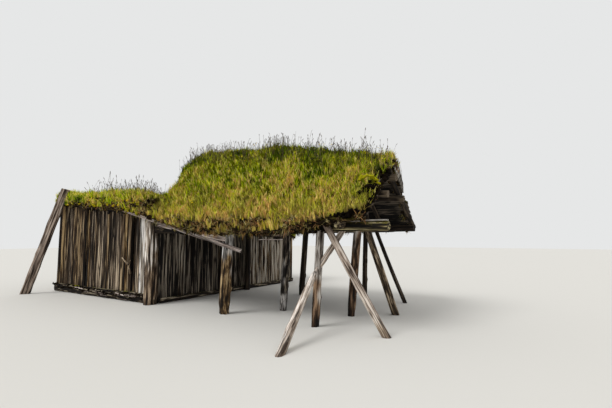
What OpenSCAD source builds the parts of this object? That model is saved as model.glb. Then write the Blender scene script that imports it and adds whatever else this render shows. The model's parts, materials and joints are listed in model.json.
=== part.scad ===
// Turf house: a low house of split timber slabs with a turf roof, and an open
// gabled turf roof on leaning round logs built onto its right-hand side.
// X runs along the front towards the open gable, Y runs back, Z is up.

/* [Porch plan] */
// Distance from the front right post to the house wall
porch_len = 4500; // [3900:50:5200]
// Distance between the front and rear plate logs
porch_depth = 3200; // [2900:50:3600]
// Height of the front plate log's axis
front_plate_z = 1800; // [1650:10:1950]
// Height of the rear plate log's axis
rear_plate_z = 1840; // [1700:10:1950]
// Height of the ridge log's axis at the open gable
ridge_z_gable = 2850; // [2650:10:3000]
// Height of the ridge log's axis at the house
ridge_z_house = 3430; // [3100:10:3500]
// Reach of the boards past the front right post, at the front
verge_front = 1060; // [900:10:1250]
// Reach of the boards past the front right post, at the rear
verge_rear = 850; // [700:10:1000]

/* [Logs] */
// Diameter of both plate logs
plate_d = 170; // [140:5:200]
// Reach of the front plate past the front right post
plate_reach_front = 1420; // [1200:10:1600]
// Reach of the rear plate past the boards' edge
plate_reach_rear = 50; // [20:5:150]
// Diameter of the ridge log
ridge_d = 160; // [140:5:180]
// Reach of the ridge log past the boards
ridge_reach = 60; // [20:5:150]
// Reach of the side purlins past the boards
purlin_reach = 60; // [20:5:150]
// Diameter of the rafter poles
rafter_d = 110; // [90:5:130]
// Number of rafter pairs
rafter_count = 7; // [5:1:9]
// Depth of the seat cut in a rafter over the plate
rafter_seat = 20; // [10:1:30]
// Length of a rafter past the plate, along the slope
eave_run = 200; // [120:5:280]
// Distance from the first rafters' axis back to the boards' edge at the rear
rafter_edge = 20; // [5:5:80]
// Distance from the last rafters to the house wall
rafter_wall = 600; // [450:10:800]
// Diameter of the side purlins
purlin_d = 142; // [138:1:150]
// Place of the side purlins up the slope, as a share of it
purlin_share = 0.62; // [0.5:0.01:0.68]
// Diameter of the tie beams
tie_d = 150; // [120:5:170]
// Height of a tie beam's axis over the plate's axis
tie_lift = 40; // [20:5:60]
// Reach of the gable tie beam in front of the plate's axis
tie_reach = 330; // [200:10:400]
// Reach of the gable tie beam behind the rear plate's axis
tie_reach_rear = 230; // [150:10:300]
// Reach of the other tie beams past the plates
tie_past = 40; // [20:5:80]
// Diameter of the king posts
king_d = 125; // [100:5:140]
// Diameter of the purlin struts
strut_d = 95; // [80:5:120]
// Depth of the saddle cut in a post's head
saddle = 35; // [15:5:50]

/* [Posts and props] */
// Diameter of the front right post's foot
front_right_d = 160; // [130:5:190]
// Diameter of the front left post's foot
front_left_d = 240; // [200:5:280]
// Diameter of the two middle posts' feet
mid_post_d = 175; // [150:5:210]
// Diameter of the feet of the rear posts beside the house
rear_post_d = 168; // [140:4:200]
// Diameter of the rear right post's foot
rear_right_d = 135; // [110:5:160]
// Diameter of the corner post's foot
corner_d = 330; // [280:5:380]
// Diameter of a post's head, as a share of its foot's
post_taper = 0.91; // [0.85:0.01:1]
// Diameter of the front prop at the gable
prop_front_d = 132; // [112:2:160]
// Diameter of the middle prop at the gable
prop_mid_d = 150; // [125:5:170]
// Diameter of the rear prop at the gable
prop_rear_d = 100; // [80:5:125]
// Diameter of the log that leans on the front right post
leaning_d = 135; // [110:5:160]
// Length of the hewn face on the leaning log's head
hewn_len = 520; // [400:10:600]
// Width of the squared prop at the left corner
corner_prop_w = 230; // [180:5:260]
// Thickness of the squared prop at the left corner
corner_prop_t = 170; // [130:5:200]

/* [Boards] */
// Thickness of the roof boards
board_t = 30; // [20:1:40]
// Length of the barge board down the rear slope from the ridge
barge_len = 880; // [600:10:1200]
// Thickness of the barge board
barge_t = 32; // [20:1:45]
// Height of the barge board's ends over the roof boards
barge_rise = 130; // [80:5:180]
// Height that the bow of the barge board adds at its middle
barge_bow = 110; // [40:5:150]
// Thickness of the loose eave plank
plank_t = 28; // [20:1:40]
// Width of the loose eave plank
plank_w = 95; // [70:5:120]
// Thickness of the knee brace
brace_t = 60; // [40:5:80]
// Width of the knee brace
brace_w = 95; // [70:5:120]

/* [House] */
// Length of the house from the porch to its left end
house_len = 4750; // [4200:50:5300]
// Depth of the house from front to back
house_depth = 5900; // [5200:50:6400]
// Height of the wall top at the front corner beside the porch
corner_top = 2000; // [1950:10:2100]
// Fall of the house roof along the front, in millimetres a metre
fall_along = 116; // [90:1:130]
// Fall of the house roof towards the back, in millimetres a metre
fall_back = 81; // [60:1:95]
// Thickness of the slab walls
wall_t = 110; // [80:5:140]
// Width of one wall slab
slab_w = 175; // [120:5:240]
// Roundness of a slab's outer face
slab_bulge = 32; // [20:1:45]
// Depth of the groove between slabs, behind their outer faces
slab_groove = 10; // [5:1:20]
// Height of the timber sill under the front wall
sill_h = 240; // [180:10:300]
// Height of the sill under the other walls
low_sill_h = 130; // [90:10:180]
// Thickness of the sill timbers
sill_t = 200; // [160:10:240]
// Reach of the house roof boards in front of the wall line
deck_reach_front = 150; // [130:5:260]
// Reach of the house roof boards past the left wall
deck_reach_left = 30; // [20:5:120]
// Reach of the house roof boards past the back wall
deck_reach_back = 120; // [80:5:200]
// Diameter of the house roof poles
pole_d = 95; // [80:5:110]
// Number of house roof poles
pole_count = 8; // [6:1:11]

/* [Turf] */
// Turf thickness at the open gable
turf_gable = 230; // [180:10:280]
// Turf thickness over the porch beside the house
turf_house = 380; // [320:10:450]
// Height that the turf's crown adds along the middle of the ridge
turf_crown = 180; // [100:10:240]
// Turf thickness on the low roof at its left end
turf_low_left = 340; // [260:10:400]
// Turf thickness on the low roof beside the porch
turf_low_right = 520; // [420:10:580]
// Depth of the turf lip in front of the boards
lip_t = 150; // [100:5:200]
// Depth of the turf lip at the left end of the low roof
lip_left = 60; // [40:5:120]
// Length of the rounded end of the high mound, over the house
mound_end = 1130; // [900:10:1400]
// Distance behind the front plate at which the mound's end begins
mound_slip = 630; // [500:10:900]
// Depth of the bare patch where the turf has slipped from the verge
slip_back = 380; // [200:10:450]

/* [Hidden] */
round_fn = 32;
clearance = 0.2;
rafter_back = 60;
lip_rise = 40;
porch_gap = 20;
plate_bearing = 60;
wall_line = 60;
corner_gap = 160;
sill_gap = 60;
sill_edge = 25;
pole_edge = 150;
pole_back = 60;
barge_steps = 12;
ground_cut = 200;
uncut_h = 3200;
far = 12000;

// Shape of the turf: places along a slope from the eave to the ridge, slant and drop of the
// hanging lips, the slipped patch at the verge, the steepest end of the mound, and the rounded edge
slope_steps = [0, 0.06, 0.16, 0.28, 0.4, 0.5, 0.58, 0.66, 0.76, 0.86, 0.94, 0.98];
turf_steps = 10;
crown_skew = 0.75;
lip_drop = 150;
lip_slant = 25;
turf_edge = 10;
slip_y = 860;
slip_run = 200;
mound_steep = 0.12;
mound_past = 200;
heap_steps = [0, 0.08, 0.2, 0.32, 0.44, 0.56, 0.68, 0.8, 0.9, 0.97, 1.02];
low_steps = 7;
front_steps = 8;
back_steps = 5;
edge_drop = 110;
corner_round = 160;

// Porch geometry that follows from the driving sizes
plate_r = plate_d / 2;
ridge_r = ridge_d / 2;
rafter_r = rafter_d / 2;
ridge_y = porch_depth / 2;
rafter_lift = plate_r + rafter_r - rafter_seat;
board_low = rafter_lift + rafter_r;
board_top = board_low + board_t;
porch_end = -porch_len + porch_gap;
rafter_first = verge_rear - rafter_edge;
rafter_last = -porch_len + rafter_wall;
rafter_xs = [for (i = [0:rafter_count - 1])
    rafter_first + (rafter_last - rafter_first) * i / (rafter_count - 1)];

// Height of the ridge log's axis at a place along the front
function ridge_z(x) = ridge_z_gable
    + (ridge_z_house - ridge_z_gable) * along_porch(x);
// Side of the roof: 0 is the front slope and 1 is the rear slope
function plate_y(side) = side * porch_depth;
function plate_z(side) = side == 0 ? front_plate_z : rear_plate_z;
function slope_run(side) = side == 0 ? 1 : -1;
function slope_angle(x, side) = atan2(ridge_z(x) - plate_z(side), ridge_y);
// Point on a slope: s along it from the plate's axis, h square to it
function on_slope(x, side, s, h) = let (a = slope_angle(x, side), k = slope_run(side))
    [x, plate_y(side) + k * (s * cos(a) - h * sin(a)), plate_z(side) + s * sin(a) + h * cos(a)];
// Length along the slope to the plane under the ridge, at height h
function to_ridge(x, side, h) = let (a = slope_angle(x, side))
    (ridge_y + h * sin(a)) / cos(a);
// Start of the boards along the slope: the front eave rises towards the house, along the turf's edge
function eave_start(x, side) = let (a = slope_angle(x, side))
    side == 1 ? -eave_run
    : max(-eave_run, (lip_z(x) + lip_rise - front_plate_z - board_top * cos(a)) / sin(a));
// Edge of the boards at the open gable, which is racked out of square
function verge_x(y) = verge_front + (verge_rear - verge_front) * y / porch_depth;
function share(a, b, t) = a + (b - a) * t;

// Tie beams: place at the front plate, and lean out of square per unit of depth
tie_list = [[573, -0.222], [-1250, -0.07], [-2900, 0], [-porch_len + 250, 0]];
function tie_x(i, y) = tie_list[i][0] + tie_list[i][1] * y;
function tie_z(y) = share(front_plate_z, rear_plate_z, y / porch_depth) + tie_lift;

// House geometry that follows from the driving sizes
fall_x = fall_along / 1000;
fall_y = fall_back / 1000;
house_left = -porch_len - house_len;
tilt_len = sqrt(1 + fall_x * fall_x + fall_y * fall_y);
function wall_top(x, y) = corner_top - fall_x * (x + porch_len) - fall_y * y;
deck_low = pole_d;
deck_top = deck_low + board_t;
deck_front = -deck_reach_front;
deck_back = house_depth + deck_reach_back;
deck_left = house_left - deck_reach_left;
deck_right = -porch_len;

// Feet and heads of the standing logs, as [foot x, foot y, head x, head y, foot d]
front_right = [0, 0, 115, 0, front_right_d];
front_left = [-2260, 0, -2160, 0, front_left_d];
mid_left = [-1410, 980, tie_x(1, 980), 980, mid_post_d];
mid_gable = [130, 1230, tie_x(0, 1230), 1230, mid_post_d];
rear_left = [-2360, porch_depth, -2210, porch_depth, rear_post_d];
rear_right = [-430, porch_depth, -370, porch_depth, rear_right_d];
rear_wall = [-porch_len + 130, porch_depth, -porch_len + 150, porch_depth, rear_post_d];
corner = [-porch_len - 100, -90, -porch_len - 210, -40, corner_d];

// Raking props, as [foot, head]
prop_seat = 14;
prop_past = 50;
prop_front_ends = [[1370, -40, 0], [330, -plate_r - prop_front_d / 2 + prop_seat, front_plate_z]];
prop_mid_ends = [[870, 1830, 0], [tie_x(0, 1480) + (tie_d + prop_mid_d) / 2 - prop_seat, 1480, tie_z(1480)]];
prop_rear_ends = [[570, porch_depth + 190, 0],
                  [-150, porch_depth + (plate_d + prop_rear_d) / 2 - prop_seat, rear_plate_z]];
hewn_share = 0.55;
leaning_share = 0.26;
leaning_ends = [[450, -1700, 0],
                [85, -front_right_d * post_taper / 2 - leaning_share * leaning_d, 1040]];
corner_prop_ends = [[house_left + 70, -900, 0], [house_left + 610, deck_front - 60, 3060]];

// Upper and lower end of the loose eave plank's front face, and lower and upper end of the knee brace
plank_ends = [[-porch_len - 1200, deck_front - 50, 2325], [-1700, -112, 1330]];
brace_ends = [[95, 0, 1090], [640, 0, front_plate_z + 20]];

// Lower edge of the turf along the front, as [x, height over the front plate's axis]
lip_line = [[-9600, 780], [-9000, 760], [-7600, 700], [-6200, 610], [-5500, 520], [-4450, 280],
            [-3670, 60], [-2870, -100], [-2010, -160], [-1090, -120], [-400, -70], [210, -40],
            [560, 60], [1200, 130]];
function lip_z(x, i = 0) = x <= lip_line[i + 1][0] || i + 2 >= len(lip_line)
    ? front_plate_z + share(lip_line[i][1], lip_line[i + 1][1],
        (x - lip_line[i][0]) / (lip_line[i + 1][0] - lip_line[i][0]))
    : lip_z(x, i + 1);

// Overall reach, which puts the origin under the middle
x_high = prop_front_ends[0].x + 0.575 * prop_front_d;
x_low = deck_left - lip_left;
y_low = leaning_ends[0].y - 0.9 * leaning_d;
y_high = deck_back + lip_t;

module centred() {
    translate([-(x_low + x_high) / 2, -(y_low + y_high) / 2, 0]) children();
}

// Puts its children, drawn along Z, on the line from a to b
module along(a, b) {
    run = b - a;
    translate(a) rotate([0, acos(run.z / norm(run)), atan2(run.y, run.x)]) children();
}

// A round log from a to b, with its diameter at each end
module log_between(a, b, d_a, d_b) {
    along(a, b) cylinder(h = norm(b - a), d1 = d_a, d2 = d_b, $fn = round_fn);
}

module above_ground() {
    intersection() {
        children();
        translate([-far, -far, 0]) cube([2 * far, 2 * far, far]);
    }
}

// A log that stands on the ground and is cut level at its head
module standing(spec, head_z) {
    foot = [spec[0], spec[1], 0];
    head = [spec[2], spec[3], head_z];
    run = (head - foot) / norm(head - foot);
    intersection() {
        log_between(foot - run * ground_cut, head + run * ground_cut, spec[4], spec[4] * post_taper);
        translate([-far, -far, 0]) cube([2 * far, 2 * far, head_z]);
    }
}

// A raking log that stands on the ground and passes its bearing by a short length
module raking(ends, d) {
    run = (ends[1] - ends[0]) / norm(ends[1] - ends[0]);
    a = ends[0] - run * ground_cut;
    b = ends[1] + run * prop_past;
    above_ground() along(a, b) rotate([0, 0, 60]) cylinder(h = norm(b - a), d = d, $fn = round_fn);
}

module plate_log(side) {
    reach = side == 0 ? plate_reach_front : verge_rear + plate_reach_rear;
    start = side == 0 ? -porch_len - plate_bearing : porch_end;
    translate([start, plate_y(side), plate_z(side)])
        rotate([0, 90, 0]) cylinder(h = reach - start, d = plate_d, $fn = round_fn);
}

module ridge_shape() {
    low = verge_x(ridge_y) + ridge_reach;
    log_between([porch_end, ridge_y, ridge_z(porch_end)], [low, ridge_y, ridge_z(low)], ridge_d, ridge_d);
}

module purlin_shape(side) {
    y = purlin_share * ridge_y;
    high_y = plate_y(side) + slope_run(side) * y;
    low = verge_x(high_y) + purlin_reach;
    function axis_z(x) = share(plate_z(side), ridge_z(x), purlin_share);
    log_between([porch_end, high_y, axis_z(porch_end)], [low, high_y, axis_z(low)], purlin_d, purlin_d);
}

module tie_shape(i) {
    front = i == 0 ? -tie_reach : -plate_r - tie_past;
    back = porch_depth + (i == 0 ? tie_reach_rear : plate_r + tie_past);
    log_between([tie_x(i, front), front, tie_z(front)], [tie_x(i, back), back, tie_z(back)], tie_d, tie_d);
}

// The room that a tie beam takes out of a plate, above the lap between them
module tie_lap(i, side, width, up) {
    y = plate_y(side);
    z = plate_z(side) + tie_lift / 2;
    translate([tie_x(i, y), y, z])
        rotate([0, 0, -atan(tie_list[i][1])])
            translate([-width / 2, -plate_d, up ? 0 : -tie_d]) cube([width, 2 * plate_d, tie_d]);
}

module rafter_shape(x, side) {
    low = on_slope(x, side, eave_start(x, side) + rafter_back, rafter_lift);
    high = on_slope(x, side, to_ridge(x, side, rafter_lift) + rafter_d, rafter_lift);
    log_between(low, high, rafter_d, rafter_d);
}

// Solid between two grids of points that have the same shape
module shell(outer, inner) {
    rows = len(outer);
    cols = len(outer[0]);
    total = rows * cols;
    function at(i, j) = i * cols + j;
    points = concat([for (row = outer) each row], [for (row = inner) each row]);
    top = [for (i = [0:rows - 2], j = [0:cols - 2]) each
        [[at(i, j), at(i, j + 1), at(i + 1, j + 1)], [at(i, j), at(i + 1, j + 1), at(i + 1, j)]]];
    under = [for (f = top) [f[0] + total, f[2] + total, f[1] + total]];
    sides = [for (i = [0:rows - 2]) each concat(
        edge_faces(at(i + 1, 0), at(i, 0), total),
        edge_faces(at(i, cols - 1), at(i + 1, cols - 1), total))];
    ends = [for (j = [0:cols - 2]) each concat(
        edge_faces(at(0, j), at(0, j + 1), total),
        edge_faces(at(rows - 1, j + 1), at(rows - 1, j), total))];
    polyhedron(points = points, faces = concat(top, under, sides, ends), convexity = 6);
}
function edge_faces(a, b, total) = [[b, a, a + total], [b, a + total, b + total]];

// A slab in the plane of the house roof, between two heights square to the wall tops
module roof_plane(low, high) {
    translate([-porch_len, 0, corner_top]) rotate([0, acos(1 / tilt_len), atan2(fall_y, fall_x)])
        translate([-far, -far, low]) cube([2 * far, 2 * far, high - low]);
}

module house_layer(x0, x1, y0, y1, low, high) {
    intersection() {
        roof_plane(low, high);
        translate([x0, y0, 0]) cube([x1 - x0, y1 - y0, far]);
    }
}

module under_house_roof() {
    difference() {
        children();
        roof_plane(0, far);
    }
}

function pole_x(i) = share(house_left + pole_edge, -porch_len - pole_edge, i / (pole_count - 1));

// Cuts walls off under the roof boards, with a slot over each place where a roof pole lies
module under_house_boards() {
    difference() {
        children();
        roof_plane(deck_low, far);
        intersection() {
            roof_plane(0, far);
            for (i = [0:pole_count - 1])
                translate([pole_x(i) - pole_d / 2 - clearance, deck_front, 0])
                    cube([pole_d + 2 * clearance, deck_back - deck_front, far]);
        }
    }
}

// Plan of a wall of split slabs: flat inside, rounded outside
module slab_row(size, depth) {
    count = max(1, round(size / slab_w));
    w = size / count;
    r = (w * w / 4 + slab_bulge * slab_bulge) / (2 * slab_bulge);
    translate([0, slab_groove]) square([size, depth - slab_groove]);
    intersection() {
        translate([0, -slab_bulge]) square([size, slab_bulge + depth / 2]);
        for (i = [0:count - 1])
            translate([(i + 0.5) * w, r - slab_bulge]) circle(r = r, $fn = round_fn);
    }
}

module slab_wall(size, low) {
    translate([0, 0, low]) linear_extrude(height = uncut_h - low) slab_row(size, wall_t);
}

module sill_timber(size, high) {
    side = sill_t / 2;
    inner = side - sill_edge;
    rotate([90, 0, 90]) linear_extrude(height = size)
        polygon([[-inner, 0], [inner, 0], [side, sill_edge], [side, high - sill_edge],
                 [inner, high], [-inner, high], [-side, high - sill_edge], [-side, sill_edge]]);
}

module corner_post_log() {
    standing(corner, uncut_h);
}

module front_right_log() {
    standing(front_right, front_plate_z - plate_r + saddle);
}

// A squared beam that stands on the ground and leans on the edge of the roof boards
module corner_prop_shape() {
    along(corner_prop_ends[0], corner_prop_ends[1])
        translate([-corner_prop_t / 2, -corner_prop_w / 2, -ground_cut])
            cube([corner_prop_t, corner_prop_w,
                  norm(corner_prop_ends[1] - corner_prop_ends[0]) + ground_cut]);
}

// The boards of the house roof, as a plain layer that things are cut back from
module house_edge() {
    house_layer(deck_left, deck_right, deck_front, deck_back, deck_low, deck_top);
}

module eave_plank_shape(extra = 0) {
    run = plank_ends[1] - plank_ends[0];
    translate(plank_ends[0])
        rotate([0, 0, atan2(run.y, run.x)])
            rotate([0, -asin(run.z / norm(run)), 0])
                translate([0, -plank_t, -plank_w / 2])
                    cube([norm(run), plank_t + extra, plank_w]);
}

module knee_brace_shape() {
    run = brace_ends[1] - brace_ends[0];
    translate(brace_ends[0]) rotate([0, -asin(run.z / norm(run)), 0])
        translate([0, -brace_t / 2, -brace_w / 2]) cube([norm(run), brace_t, brace_w]);
}

module sill_front() {
    color("#3b342b") centred() difference() {
        translate([house_left, wall_t / 2 - wall_line, 0]) sill_timber(house_len - sill_gap, sill_h);
        corner_post_log();
    }
}

module sill_porch_side() {
    color("#6d5a33") centred() difference() {
        translate([-porch_len - wall_t / 2, house_depth - wall_t - sill_t / 2, 0])
            rotate([0, 0, -90]) sill_timber(house_depth - wall_t - sill_t, low_sill_h);
        corner_post_log();
    }
}

module sill_back() {
    color("#3b342b") centred()
        translate([house_left, house_depth - wall_t / 2, 0]) sill_timber(house_len, low_sill_h);
}

module sill_left() {
    color("#3b342b") centred()
        translate([house_left + wall_t / 2, house_depth - wall_t - sill_t / 2, 0])
            rotate([0, 0, -90]) sill_timber(house_depth - wall_t - sill_t, low_sill_h);
}

module wall_front() {
    color("#6f6352") centred() under_house_boards() difference() {
        translate([house_left, -wall_line, 0]) slab_wall(house_len - corner_gap, sill_h);
        corner_post_log();
    }
}

module wall_porch_side() {
    color("#57503f") centred() under_house_roof() difference() {
        translate([-porch_len, wall_t - wall_line, 0]) rotate([0, 0, 90])
            slab_wall(house_depth - 2 * wall_t + wall_line, low_sill_h);
        corner_post_log();
    }
}

module wall_back() {
    color("#6f6352") centred() under_house_boards()
        translate([-porch_len, house_depth, 0]) rotate([0, 0, 180]) slab_wall(house_len, low_sill_h);
}

module wall_left() {
    color("#6f6352") centred() under_house_boards()
        translate([house_left, house_depth - wall_t, 0]) rotate([0, 0, -90])
            slab_wall(house_depth - 2 * wall_t + wall_line, low_sill_h);
}

module corner_post() {
    color("#7d6f5e") centred() under_house_roof() difference() {
        corner_post_log();
        plate_log(0);
        eave_plank_shape();
    }
}

module house_poles() {
    color("#4d4234") centred()
        for (i = [0:pole_count - 1]) {
            x = pole_x(i);
            lift = pole_d / 2 * tilt_len;
            y0 = deck_front + pole_back;
            y1 = deck_back - pole_back;
            log_between([x, y0, wall_top(x, y0) + lift], [x, y1, wall_top(x, y1) + lift], pole_d, pole_d);
        }
}

module house_boards() {
    color("#5b4f40") centred() house_edge();
}

// Thickness of the turf over the porch boards
function along_porch(x) = (verge_front - x) / (verge_front + porch_len);
function turf_t(x) = share(turf_gable, turf_house, along_porch(x));
function crown(x) = turf_crown * sin(180 * pow(max(0, min(1, along_porch(x))), crown_skew));
function lumps(x, y) = 16 * sin(x / 3.1) + 12 * sin(y / 2.3 + x / 7) + 9 * cos((x + y) / 1.7);

// The turf along one slope, from the eave up to the ridge, inside and outside
function slope_inner(x, side, t) =
    on_slope(x, side, share(eave_start(x, side), to_ridge(x, side, board_top), t), board_top);
function slope_outer(x, side, t) = let (
        a = slope_angle(x, side) * (1 - pow(t, 6)),
        p = slope_inner(x, side, t),
        d = turf_t(x) * (0.8 + 0.2 * t) + crown(x) * t * t + lumps(x, p.y) * min(1, 4 * t))
    [p.x, p.y - slope_run(side) * d * sin(a), p.z + d * cos(a)];
function ridge_inner(x) = slope_inner(x, 0, 1);
function ridge_outer(x) = let (p = ridge_inner(x))
    [p.x, p.y, p.z + turf_t(x) + crown(x) + lumps(x, p.y)];

// The hanging edge of the turf at an eave, inside and outside
function lip_inner(x, side) = let (p = slope_inner(x, side, 0))
    [x, p.y, side == 0 ? lip_z(x) : p.z - lip_drop];
function lip_outer(x, side) = let (p = on_slope(x, side, -eave_run, board_top))
    [x, p.y - slope_run(side) * lip_t, side == 0 ? lip_z(x) + lip_slant : p.z - lip_drop + lip_slant];

function profile_inner(x) = concat(
    [lip_inner(x, 0)],
    [for (t = slope_steps) slope_inner(x, 0, t)],
    [ridge_inner(x)],
    [for (i = [len(slope_steps) - 1:-1:0]) slope_inner(x, 1, slope_steps[i])],
    [lip_inner(x, 1)]);
function profile_outer(x) = concat(
    [lip_outer(x, 0)],
    [for (t = slope_steps) slope_outer(x, 0, t)],
    [ridge_outer(x)],
    [for (i = [len(slope_steps) - 1:-1:0]) slope_outer(x, 1, slope_steps[i])],
    [lip_outer(x, 1)]);

// The turf stops short of the boards' edge, most where it has slipped halfway up the front slope
function turf_back(y) = turf_edge + slip_back * exp(-pow((y - slip_y) / slip_run, 2));
turf_last = verge_rear - slip_back - 100;
turf_xs = [for (i = [0:turf_steps]) share(porch_end, turf_last, i / turf_steps)];
function at_verge(p) = [verge_x(p.y) - turf_back(p.y), p.y, p.z];
function verge_profile(points) = [for (p = points) at_verge(p)];

module porch_turf() {
    outer = concat([for (x = turf_xs) profile_outer(x)], [verge_profile(profile_outer(rafter_xs[0]))]);
    inner = concat([for (x = turf_xs) profile_inner(x)], [verge_profile(profile_inner(rafter_xs[0]))]);
    color("#77852f") centred() difference() {
        shell(outer, inner);
        eave_plank_shape();
        tie_shape(0);
    }
}

module porch_boards(side) {
    xs = concat([porch_end], [for (i = [rafter_count - 1:-1:0]) rafter_xs[i]]);
    function pair(x, h) =
        [on_slope(x, side, eave_start(x, side), h), on_slope(x, side, to_ridge(x, side, h), h)];
    function end_pair(h) = [for (p = pair(verge_x(plate_y(side)), h)) [verge_x(p.y), p.y, p.z]];
    high = concat([for (x = xs) pair(x, board_top)], [end_pair(board_top)]);
    low = concat([for (x = xs) pair(x, board_low)], [end_pair(board_low)]);
    if (side == 0) shell(high, low);
    else shell(low, high);
}

module porch_boards_front() {
    color("#4f463a") centred() porch_boards(0);
}

module porch_boards_rear() {
    color("#4f463a") centred() porch_boards(1);
}

// Top of the low turf roof, and of the high mound's end that is heaped on it
function low_turf(x, y) = wall_top(x, y) + deck_top * tilt_len + lumps(x, y)
    + share(turf_low_right, turf_low_left, (-porch_len - x) / house_len);
mound_back = porch_depth + mound_past;
function mound_reach(y) = mound_end * max(mound_steep, y < ridge_y
    ? (y - mound_slip) / (ridge_y - mound_slip) : (mound_back - y) / (mound_back - ridge_y));
function mound_share(x, y) = let (t = (porch_end - x) / mound_reach(y)) t >= 1 ? 0 : sqrt(1 - pow(t, 4));
mound_profile = profile_outer(porch_end);
function mound_z(y, i = 0) = i + 2 >= len(mound_profile) ? 0
    : y >= mound_profile[i].y && y <= mound_profile[i + 1].y && mound_profile[i + 1].y > mound_profile[i].y
    ? share(mound_profile[i].z, mound_profile[i + 1].z,
        (y - mound_profile[i].y) / (mound_profile[i + 1].y - mound_profile[i].y))
    : mound_z(y, i + 1);
function heap(x, y) = let (low = low_turf(x, y)) low + max(0, mound_z(y) - low) * mound_share(x, y);

// The first rows of the grid follow the end of the mound, and the others spread out to the left
module house_turf() {
    heap_last = len(heap_steps) - 1;
    mound_y = mound_profile[len(mound_profile) - 1].y;
    ys = concat([for (i = [0:front_steps]) share(deck_front, ridge_y, i / front_steps)],
                [for (i = [1:front_steps]) share(ridge_y, mound_y, i / front_steps)],
                [for (i = [1:back_steps]) share(mound_y, deck_back, i / back_steps)],
                [y_high]);
    last = len(ys);
    end = heap_last + low_steps;
    function row_y(j) = ys[max(0, j - 1)];
    function row_x(i, y) = i <= heap_last ? porch_end - heap_steps[i] * mound_reach(y)
        : share(porch_end - heap_steps[heap_last] * mound_reach(y), x_low, (i - heap_last) / low_steps);
    function lip_y(x) = deck_front - share(lip_t, lip_left, (porch_end - x) / (porch_end - x_low));
    function place_y(i, j) = j == 0 ? lip_y(row_x(i, row_y(j))) : row_y(j);
    function round_in(d) = d >= corner_round ? 0 : corner_round - sqrt(d * (2 * corner_round - d));
    function place_x(i, j) = row_x(i, row_y(j))
        + (i == end ? round_in(min(place_y(i, j) - lip_y(x_low), y_high - place_y(i, j))) : 0);
    function at_edge(i, j) = j == 0 || j == last || i == end;
    function high(i, j) = heap(place_x(i, j), place_y(i, j)) - (at_edge(i, j) ? edge_drop : 0);
    function low(i, j) = j == 0 ? lip_z(place_x(i, j)) : wall_top(place_x(i, j), row_y(j))
        + (j == last || i == end ? deck_low - lip_rise : (deck_top - board_t / 2) * tilt_len);
    outer = [for (i = [0:end]) [for (j = [0:last]) [place_x(i, j), place_y(i, j), high(i, j)]]];
    inner = [for (i = [0:end]) [for (j = [0:last]) [place_x(i, j), place_y(i, j), low(i, j)]]];
    color("#77852f") centred() difference() {
        shell(inner, outer);
        house_layer(deck_left, porch_end + far, deck_front, deck_back, -far, deck_top);
        corner_prop_shape();
        eave_plank_shape();
    }
}

module corner_prop() {
    color("#8d7d70") centred() difference() {
        above_ground() corner_prop_shape();
        house_edge();
    }
}

module post_front_right() {
    color("#857969") centred() difference() {
        front_right_log();
        plate_log(0);
    }
}

module post_front_left() {
    color("#7c6b58") centred() difference() {
        standing(front_left, front_plate_z - plate_r + saddle);
        plate_log(0);
        eave_plank_shape();
    }
}

module post_mid_left() {
    color("#6e6456") centred() difference() {
        standing(mid_left, tie_z(mid_left[3]) - tie_d / 2 + saddle);
        tie_shape(1);
    }
}

module post_mid_gable() {
    color("#6a5f53") centred() difference() {
        standing(mid_gable, tie_z(mid_gable[3]) - tie_d / 2 + saddle);
        tie_shape(0);
    }
}

module rear_post(spec) {
    difference() {
        standing(spec, rear_plate_z - plate_r + saddle);
        plate_log(1);
    }
}

module post_rear_left() {
    color("#4c4339") centred() rear_post(rear_left);
}

module post_rear_right() {
    color("#4c4339") centred() rear_post(rear_right);
}

module post_rear_wall() {
    color("#4c4339") centred() rear_post(rear_wall);
}

module lapped_plate(side) {
    difference() {
        plate_log(side);
        for (i = [0:len(tie_list) - 1]) tie_lap(i, side, tie_d + 2 * clearance, true);
    }
}

module plate_front() {
    color("#7a7150") centred() lapped_plate(0);
}

module plate_rear() {
    color("#5d5344") centred() lapped_plate(1);
}

module lapped_tie(i) {
    difference() {
        tie_shape(i);
        for (side = [0, 1]) intersection() {
            tie_lap(i, side, 2 * tie_d, false);
            translate([-far, plate_y(side) - plate_r - clearance, 0])
                cube([2 * far, plate_d + 2 * clearance, far]);
        }
    }
}

module tie_gable() {
    color("#6d6b3a") centred() lapped_tie(0);
}

module tie_mid() {
    color("#564c3f") centred() lapped_tie(1);
}

module tie_inner() {
    color("#564c3f") centred() lapped_tie(2);
}

module tie_house() {
    color("#564c3f") centred() lapped_tie(3);
}

module king_post(i) {
    x = tie_x(i, ridge_y);
    difference() {
        translate([x, ridge_y, tie_z(ridge_y)])
            cylinder(h = ridge_z(x) - ridge_r + saddle - tie_z(ridge_y), d = king_d, $fn = round_fn);
        tie_shape(i);
        ridge_shape();
    }
}

module king_gable() {
    color("#564c3f") centred() king_post(0);
}

module king_mid() {
    color("#564c3f") centred() king_post(1);
}

module king_inner() {
    color("#564c3f") centred() king_post(2);
}

module king_house() {
    color("#564c3f") centred() king_post(3);
}

module ridge_log() {
    color("#5d5344") centred() ridge_shape();
}

module purlin_front() {
    color("#5d5344") centred() purlin_shape(0);
}

module purlin_rear() {
    color("#7a5b4c") centred() purlin_shape(1);
}

module struts(side) {
    y = plate_y(side) + slope_run(side) * purlin_share * ridge_y;
    for (i = [0:len(tie_list) - 1]) {
        x = tie_x(i, y);
        head = share(plate_z(side), ridge_z(x), purlin_share) - purlin_d / 2 + saddle;
        difference() {
            translate([x, y, tie_z(y)]) cylinder(h = head - tie_z(y), d = strut_d, $fn = round_fn);
            tie_shape(i);
            purlin_shape(side);
        }
    }
}

module struts_front() {
    color("#564c3f") centred() struts(0);
}

module struts_rear() {
    color("#564c3f") centred() struts(1);
}

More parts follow.
